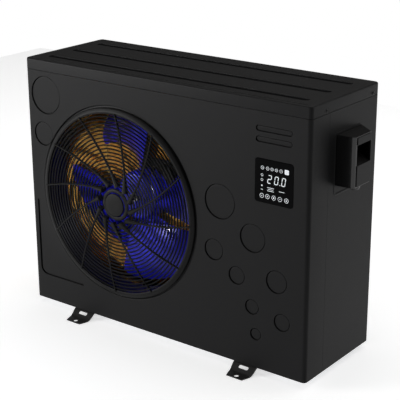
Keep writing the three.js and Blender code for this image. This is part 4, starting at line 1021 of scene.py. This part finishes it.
# %% Tree: crossed wires
wire_tree, given, result, node = geometry_tree("crossed_wires", [
    ("Width", "Float", 0.3), ("Height", "Float", 0.6), ("Across pitch", "Float", 0.030),
    ("Up pitch", "Float", 0.012), ("Wire radius", "Float", 0.0011), ("Finish", "Material", None)])


def wire_row(length, spread, pitch, lengthways, aside):
    """Straight wires of one length, side by side at an even pitch that fits the spread."""
    gaps = maths(wire_tree, "FLOOR", maths(wire_tree, "DIVIDE", spread, pitch))
    even = maths(wire_tree, "DIVIDE", spread, gaps)
    place = maths(wire_tree, "SUBTRACT", maths(wire_tree, "MULTIPLY", node("InputIndex"), even),
                  maths(wire_tree, "MULTIPLY", spread, 0.5))
    dots = node("MeshLine", {"Count": maths(wire_tree, "ADD", gaps, 1.0), "Offset": (0, 0, 0)})
    dots = node("SetPosition", {"Geometry": dots, "Position": vector(wire_tree, **{aside: place})})
    half = maths(wire_tree, "MULTIPLY", length, 0.5)
    back = maths(wire_tree, "MULTIPLY", half, -1.0)
    wire = node("CurvePrimitiveLine", {"Start": vector(wire_tree, **{lengthways: back}),
                                       "End": vector(wire_tree, **{lengthways: half})})
    made = node("InstanceOnPoints", {"Points": dots, "Instance": wire})
    return node("RealizeInstances", {"Geometry": made})


upright_wires = wire_row(given["Height"], given["Width"], given["Across pitch"], "Z", "X")
level_wires = wire_row(given["Width"], given["Height"], given["Up pitch"], "X", "Z")
behind = node("Transform", {"Geometry": level_wires, "Translation": (0, 2.0 * MM, 0)})
wires = node("CurveToMesh", {
    "Curve": joined(wire_tree, upright_wires, behind), "Fill Caps": True,
    "Profile Curve": node("CurvePrimitiveCircle", {"Resolution": 8, "Radius": given["Wire radius"]})})
finish_tree(wire_tree, node, wires, given["Finish"], result)
print("tree", wire_tree.name, "has", len(wire_tree.nodes), "nodes")

# %% [markdown]
# The frame of each grille is a flat bar cut from its node's own box, and the wires fill its inside.

# %% Grilles at the back and on the left
BAR = 14 * MM


def grille(name, node, facing):
    """A framed grille filling a node's box; facing is "Y" at the back, "X" on the left."""
    low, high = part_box(node)
    mid = (low + high) / 2
    long_way = (high.x - low.x) if facing == "Y" else (high.y - low.y)
    tall = high.z - low.z
    flat = high.y - low.y if facing == "Y" else high.x - low.x
    turn_it = Matrix.Identity(4) if facing == "Y" else Matrix.Rotation(math.radians(90), 4, "Z")
    outer = rounded(-long_way / 2, long_way / 2, -tall / 2, tall / 2, 3 * MM, 4)
    hole = rounded(-long_way / 2 + BAR, long_way / 2 - BAR, -tall / 2 + BAR, tall / 2 - BAR, 3 * MM, 4)
    points, faces = press(outer, [], [hole], lambda x, z, depth: (x, -flat / 2, z))
    frame_piece = mesh_piece(name + "_frame", points, faces, sharp=30)
    frame_piece.data.transform(Matrix.Translation(mid) @ turn_it)
    frame_piece.data.update()
    thicken(frame_piece, -min(flat, 2 * MM))
    net = grow(name + "_wires", wire_tree,
               {"Width": long_way - BAR, "Height": tall - BAR, "Finish": black_paint})
    net.data.transform(Matrix.Translation(mid) @ turn_it @ Matrix.Translation((0, -1 * MM, 0)))
    net.data.update()
    return frame_piece, net, flat


for name, node, facing in (("rear_grille", "rear_coil_guard", "Y"), ("left_grille", "left_coil_guard", "X")):
    frame_piece, net, flat = grille(name, node, facing)
    settle(frame_piece, black_paint, [node])
    settle(net, None)
    print(name, "is", round(flat * 1000, 1), "mm thick")

# %% [markdown]
# ## Pieces that keep their solid shape
# Many pieces are right as solids: they only need true edges and the right surface. Each of them is
# copied, its triangles are merged into plain faces, and its edges are rounded by a small bevel, so
# that every edge catches light as a real one does.

# %% Helper: round a solid's edges
def dressed(node, material, edge=0.8, sharp=32, body="cabinet", segments=2):
    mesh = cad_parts[node].data.copy()
    mesh.name = node + "_edges"
    if "custom_normal" in mesh.attributes:
        mesh.attributes.remove(mesh.attributes["custom_normal"])
    work = bmesh.new()
    work.from_mesh(mesh)
    bmesh.ops.remove_doubles(work, verts=work.verts, dist=2e-6)
    bmesh.ops.dissolve_limit(work, angle_limit=math.radians(0.8), verts=work.verts, edges=work.edges)
    work.to_mesh(mesh)
    work.free()
    mark_edges(mesh, sharp)
    piece = linked(node + "_edges", mesh)
    if edge:
        thicken(piece, 0, edge * MM, segments, 44)
        piece.modifiers["rounded_edges"].harden_normals = True
    return settle(piece, material, [node], body)


OUTSIDE = [
    ("handle_shroud", gloss_black, "black_plastic", 2.2), ("shroud_face", paint, "charcoal_paint", 0.7),
    ("cable_gland", black_plastic, "black_plastic", 0.6),
    ("display_housing", black_plastic, "black_plastic", 0.8), ("base_pan", zinc, "galvanised_steel", 0.3),
    ("drain_spout", black_plastic, "black_plastic", 0.5)]
OUTSIDE += [(node, white_plastic, "white_plastic", 0.8) for node in
            ("water_inlet_port", "water_outlet_port", "inlet_union_tail", "outlet_union_tail")]
for node, material, slot, edge in OUTSIDE:
    dressed(node, material, edge)
for name in ("inlet", "outlet"):
    dressed(name + "_union_nut", black_plastic, 1.0, sharp=20, body=name + "_nut",
            segments=3)
print("shroud, ports and unions have rounded edges")

# %% [markdown]
# ## Inside the cabinet
# These pieces show through the guard and the grilles, or when the cover is off: the motor and its
# bracket, the copper pipework, the compressor on its rubber feet, and the electrics in their box.

# %% Motor, refrigerant circuit and electrics
INSIDE = [
    ("fan_orifice", black_paint, "black_paint", 0), ("fan_motor", motor_paint, "grey_paint", 1.2),
    ("motor_bracket", black_paint, "black_paint", 0.5), ("coil_plate_front", zinc, "galvanised_steel", 0.3),
    ("coil_plate_rear", zinc, "galvanised_steel", 0.3), ("coil_header", copper, "copper_tube", 0),
    ("partition_plate", zinc, "galvanised_steel", 0.3), ("compressor", black_paint, "black_paint", 3.0),
    ("accumulator", black_paint, "black_paint", 2.0), ("heat_exchanger", gloss_black, "black_plastic", 2.0),
    ("discharge_pipe", copper, "copper_tube", 0), ("suction_pipe", copper, "copper_tube", 0),
    ("suction_elbow", copper, "copper_tube", 0), ("coil_gas_pipe", copper, "copper_tube", 0),
    ("coil_liquid_pipe", copper, "copper_tube", 0), ("exchanger_gas_pipe", copper, "copper_tube", 0),
    ("exchanger_liquid_pipe", copper, "copper_tube", 0), ("four_way_valve", brass, "valve_brass", 0.5),
    ("expansion_valve", brass, "valve_brass", 0.5), ("flow_switch", black_plastic, "black_plastic", 0.8),
    ("electronics_box", zinc, "galvanised_steel", 0.4), ("electronics_lid", zinc, "galvanised_steel", 0.4),
    ("control_board", board, "board_green", 0.2), ("terminal_block", white_plastic, "white_plastic", 0.6)]
for node, material, slot, edge in INSIDE:
    dressed(node, material, edge)
for i in (1, 2, 3):
    dressed("compressor_grommet_%d" % i, rubber, 1.2)
dressed("fan_nut", screw_steel, 0.6, body="fan_rotor")
dressed("motor_shaft", screw_steel, 0.3, body="fan_rotor")
dressed("flow_paddle", screw_steel, 0.3, body="paddle")
left_over = [name for name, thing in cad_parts.items() if not thing.hide_render]
print(len(INSIDE) + 6, "inner pieces done; still plain:", left_over)

# %% [markdown]
# ## The display
# A square sheet of black glass with rounded corners and a polished chamfer stands a little proud
# of the panel. Its marks light up from behind: a row of small rings and a filled square, a slanted
# temperature in seven-segment digits, a column of small symbols, and a row of round keys.

# %% Display glass
glass_face = display_low.y
CHAMFER = 0.8 * MM
outlines = []
for inset, y in ((0, display_high.y), (0, glass_face + CHAMFER),
                 (CHAMFER * 0.4, glass_face + CHAMFER * 0.3), (CHAMFER, glass_face)):
    square = rounded(display_low.x + inset, display_high.x - inset, display_low.z + inset,
                     display_high.z - inset, 8 * MM - inset, 10)
    outlines.append([(x, y, z) for x, z in square])
n = len(outlines[0])
points = [p for outline in outlines for p in outline]
faces = [(k * n + i, k * n + (i + 1) % n, (k + 1) * n + (i + 1) % n, (k + 1) * n + i)
         for k in range(len(outlines) - 1) for i in range(n)]
faces += [tuple(range(n))[::-1], tuple(range((len(outlines) - 1) * n, len(outlines) * n))]
glass = mesh_piece("display_glass_sheet", points, faces, sharp=14)
settle(glass, display_black, ["display_glass"])
print("display glass", round((display_high.x - display_low.x) * 1000, 1), "mm square")

# %% [markdown]
# Each lit mark is a thin flat shape, given in millimetres on the front, and all of them are one
# piece. The figures are seven-segment strokes, drawn slightly slanted.

# %% Lit marks
mark_parts = []


def mark(outline, hole=None):
    """A thin lit shape on the glass; outline and hole are (x, z) in mm from the cabinet's left and foot."""
    to_place = [(front_x(x), front_z(z)) for x, z in outline]
    cut = [[(front_x(x), front_z(z)) for x, z in hole]] if hole else []
    mark_parts.append(press(to_place, [], cut, lambda x, z, depth: (x, glass_face - 0.12 * MM, z)))


def ring(x, z, r, line):
    mark(disc(x, z, r, 24), disc(x, z, r - line, 24))


def slab(x, z, wide, high, lean=0.0):
    mark([(x - wide / 2 - lean * high / 2, z - high / 2), (x + wide / 2 - lean * high / 2, z - high / 2),
          (x + wide / 2 + lean * high / 2, z + high / 2), (x - wide / 2 + lean * high / 2, z + high / 2)])


SEGMENTS = {"2": "abged", "0": "abcdef"}
LEAN, DIGIT_W, DIGIT_H, STROKE = 0.14, 11.0, 21.0, 2.0


def digit(character, x, z):
    """Seven slanted strokes; x, z is the middle of the digit."""
    w, h = DIGIT_W / 2 - STROKE / 2, DIGIT_H / 2 - STROKE / 2
    level = {"a": h, "g": 0.0, "d": -h}
    upright = {"b": (w, h / 2), "c": (w, -h / 2), "e": (-w, -h / 2), "f": (-w, h / 2)}
    for letter in SEGMENTS[character]:
        if letter in level:
            slab(x + LEAN * level[letter], z + level[letter], 2 * w - 1.2, STROKE, LEAN)
        else:
            dx, dz = upright[letter]
            slab(x + dx + LEAN * dz, z + dz, STROKE, h - 1.4, LEAN)


for x, r in ((769, 4.4), (783.5, 4.4), (796, 4.0), (808, 4.0), (821, 4.4)):
    ring(x, 525, r, 1.0)
    slab(x, 525, 2.6, 1.0)
mark([(x, z) for x, z in rounded(831, 842.5, 519.5, 531, 2.0, 4)])
for character, x in (("2", 789.5), ("0", 808.5), ("0", 828.5)):
    digit(character, x, 499.5)
mark(disc(818.2, 490.2, 1.1, 16))
for z in (507, 495):
    ring(768, z, 3.2, 0.9)
mark(disc(768, 481, 2.2, 6))
slab(768, 471.5, 5.0, 1.4)
for z in (478.6, 474.6, 470.6):
    slab(792.5, z, 19.0 if z != 474.6 else 15.0, 1.3)
slab(823.5, 474.5, 15.0, 1.4)
for x in (768, 784, 801.5, 819, 837):
    ring(x, 456, 5.8, 1.0)
for x, shape in ((768, 3), (784, 4), (801.5, 24), (819, 3), (837, 6)):
    mark(disc(x, 456, 2.0, shape))
marks = thicken(mesh_piece("display_lit_marks", *merge(*mark_parts)), 0.1 * MM)
settle(marks, lit_marks)
print(len(mark_parts), "lit marks,", len(marks.data.polygons), "faces")

# %% [markdown]
# ## Screws
# Pan-head screws hold the cover at its sides and the rear panel along its right edge. One screw is
# modelled with a cross recess, and a tree sets it on every marked point, turned to that face. Each
# screw stopped at its own angle, so the tree turns them by a fixed seed.

# %% One screw
SCREW_R, HEAD_H = 4.4 * MM, 2.6 * MM
rings_out = [(0.0, HEAD_H), (1.0 * MM, HEAD_H), (2.2 * MM, HEAD_H * 0.96), (3.3 * MM, HEAD_H * 0.80),
             (4.0 * MM, HEAD_H * 0.55), (SCREW_R, HEAD_H * 0.22), (SCREW_R, 0.0)]
points, faces, SPAN = [], [], 32
for r, y in rings_out[1:]:
    for i in range(SPAN):
        a = 2 * math.pi * i / SPAN
        x, z = r * math.cos(a), r * math.sin(a)
        in_cross = (abs(x) < 0.62 * MM or abs(z) < 0.62 * MM) and r < 2.5 * MM
        points.append((x, -(y - (1.1 * MM if in_cross else 0.0)), z))
points.append((0, -(HEAD_H - 1.3 * MM), 0))
for k in range(len(rings_out) - 2):
    for i in range(SPAN):
        j = (i + 1) % SPAN
        faces.append((k * SPAN + i, (k + 1) * SPAN + i, (k + 1) * SPAN + j, k * SPAN + j))
for i in range(SPAN):
    faces.append((len(points) - 1, i, (i + 1) % SPAN))
faces.append(tuple((len(rings_out) - 2) * SPAN + i for i in range(SPAN)))
screw = mesh_piece("one_screw", points, faces, sharp=40)
face_outwards(screw.data)
print("one screw:", len(screw.data.polygons), "faces")

# %% Tree: a screw on every point of a face
screw_tree, given, result, node = geometry_tree("screws_on_points", [
    ("Screw", "Object", None), ("Face turn", "Float", 0.0), ("Seed", "Int", 7),
    ("Finish", "Material", None)])
one = add(screw_tree, "GeometryNodeObjectInfo", {"Object": given["Screw"]}).outputs["Geometry"]
MOST = 3  # the float socket that holds the largest random value
own = add(screw_tree, "FunctionNodeRandomValue", {"Seed": given["Seed"], MOST: math.pi / 2},
          data_type="FLOAT").outputs[1]
both_turns = first(screw_tree, "FunctionNodeEulerToRotation",
                   {"Euler": vector(screw_tree, Y=own, Z=given["Face turn"])})
set_on = node("InstanceOnPoints", {"Points": given["Geometry"], "Instance": one, "Rotation": both_turns})
finish_tree(screw_tree, node, set_on, given["Finish"], result)

cover_screws = [centre("cover_screw_%d" % i) for i in (1, 2, 3, 4)]
right_side = [(RIGHT, p.y, p.z) for p in cover_screws if p.x > MIDDLE]
left_side = [(LEFT, p.y, p.z) for p in cover_screws if p.x < MIDDLE]
rear_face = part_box("rear_panel")[1].y
rear_marks = [(RIGHT - 12 * MM, rear_face, FOOT + z * MM) for z in (40, 250, 460, 640)]
for name, turn_by, where in (("cover_screws_right", 90, right_side), ("cover_screws_left", -90, left_side),
                             ("rear_panel_screws", 180, rear_marks)):
    made = grow(name, screw_tree,
                {"Screw": screw, "Face turn": math.radians(turn_by), "Finish": black_paint}, where)
    nodes = ["cover_screw_%d" % i for i in (1, 2, 3, 4)] if "cover" in name else []
    stands = [node for node in nodes if (centre(node).x > MIDDLE) == (turn_by == 90)]
    settle(made, None, stands)
bpy.data.objects.remove(screw)

# %% [markdown]
# ## Floor, backdrop and light
# The object stands on a plain pale floor that runs on behind it. Seen by the camera, and in gloss
# and glass, the floor is white paper with the object's own soft shadow on it. To every other ray it
# is a mid grey, so that the dark paint doesn't turn milky. The backdrop is white up to the horizon;
# above it, gloss and glass see a dim studio. A wide lamp low on the left lights the front, a broad
# lamp overhead lights the top, and a weak one behind on the right draws the edge of the right side.
# A narrow beam from the right goes through the guard only, and shows the fan and the gold coil.

# %% Floor and backdrop
def background_rays(tree):
    """1 for the rays that show the background: the camera's own, and those in gloss and glass."""
    kind = add(tree, "ShaderNodeLightPath").outputs
    mirrored = maths(tree, "MAXIMUM", kind["Is Glossy Ray"], kind["Is Transmission Ray"])
    return maths(tree, "MAXIMUM", kind["Is Camera Ray"], mirrored)


floor_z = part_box("foot_rail_left")[0].z
floor_mesh = bpy.data.meshes.new("floor")
FLOOR_SIDE, FLOOR_NEAR, FLOOR_FAR = 3.0, -3.0, 2.4
floor_corners = [(-FLOOR_SIDE, FLOOR_NEAR), (FLOOR_SIDE, FLOOR_NEAR), (FLOOR_SIDE, FLOOR_FAR),
                 (-FLOOR_SIDE, FLOOR_FAR)]
floor_mesh.from_pydata([(x, y, floor_z) for x, y in floor_corners], [], [(0, 1, 2, 3)])
floor = linked("floor", floor_mesh)
paper = bpy.data.materials.new("pale_floor")
paper.use_nodes = True
tree = paper.node_tree
tree.nodes.remove(tree.nodes["Principled BSDF"])
lit = first(tree, "ShaderNodeBsdfDiffuse", {"Color": (0.86, 0.86, 0.86, 1)})
lift = first(tree, "ShaderNodeEmission", {"Color": (1, 1, 1, 1), "Strength": 0.58})
seen = first(tree, "ShaderNodeAddShader", {0: lit, 1: lift})
unseen = first(tree, "ShaderNodeBsdfDiffuse", {"Color": (0.22, 0.22, 0.22, 1)})
mix = first(tree, "ShaderNodeMixShader", {0: background_rays(tree), 1: unseen, 2: seen})
tree.links.new(mix, tree.nodes["Material Output"].inputs["Surface"])
floor_mesh.materials.append(paper)
floor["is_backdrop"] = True

world = bpy.data.worlds.new("studio")
bpy.context.scene.world = world
world.use_nodes = True
tree = world.node_tree
sky = tree.nodes["Background"]
sky.inputs["Color"].default_value = (1, 1, 1, 1)
HORIZON = 0.03  # the height of a ray's direction up to which the backdrop is white
STUDIO_DIM = 0.07
kind = add(tree, "ShaderNodeLightPath").outputs
direction = add(tree, "ShaderNodeTexCoord").outputs["Generated"]
height = add(tree, "ShaderNodeSeparateXYZ", {0: direction}).outputs["Z"]
low_down = maths(tree, "LESS_THAN", height, HORIZON)
backdrop = maths(tree, "MULTIPLY", background_rays(tree), low_down)
seen_white = maths(tree, "MAXIMUM", kind["Is Camera Ray"], backdrop)
strength = add(tree, "ShaderNodeMapRange", {"Value": seen_white, "To Min": STUDIO_DIM, "To Max": 1.0})
tree.links.new(strength.outputs["Result"], sky.inputs["Strength"])
print("floor at z =", round(floor_z, 4))


# %% Lamps
def aimed(thing, place, aim):
    turned_to = (Vector(aim) - Vector(place)).to_track_quat("-Z", "Y").to_matrix().to_4x4()
    thing.matrix_world = Matrix.Translation(place) @ turned_to
    return thing


def soft_lamp(name, place, aim, size, power):
    data = bpy.data.lights.new(name, "AREA")
    data.shape = "RECTANGLE"
    data.size, data.size_y = size
    data.energy = power
    return aimed(linked(name, data), place, aim)


lamps = [soft_lamp("key_left", (-3.2, -3.2, 1.1), (0, 0, 0.35), (1.6, 1.6), 118),
         soft_lamp("overhead", (0.5, 0.7, 4.2), (0.0, 0.1, 0), (5.0, 5.0), 105),
         soft_lamp("edge_right", (3.2, 2.6, 1.6), (0.4, 0.1, 0.4), (1.0, 1.6), 14)]
BEAM_R = 0.20  # where the beam reaches the guard
snoot = bpy.data.lights.new("fan_snoot", "SPOT")
snoot.energy, snoot.shadow_soft_size, snoot.spot_blend = 210, 0.03, 0.15
place = FAN + Vector((1.5, -2.5, 0.9))
aim = FAN + Vector((-0.045, 0, 0))
snoot.spot_size = 2 * math.atan(BEAM_R / (place - aim).length)
lamps.append(aimed(linked("fan_snoot", snoot), place, aim))
print(len(lamps), "lamps,", sum(thing.data.energy for thing in lamps), "W")

# %% [markdown]
# ## Last settings and sizes
# The view settings stay plain, so that colours come out as they were set.

# %% Finish the scene
bpy.context.scene.view_settings.view_transform = "Standard"
final_bounds = [list(corner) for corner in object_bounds()]
for label, (low, high) in (("solids", solid_bounds), ("dressed", final_bounds)):
    print(label, [round((b - a) * 1000, 1) for a, b in zip(low, high)], "mm")
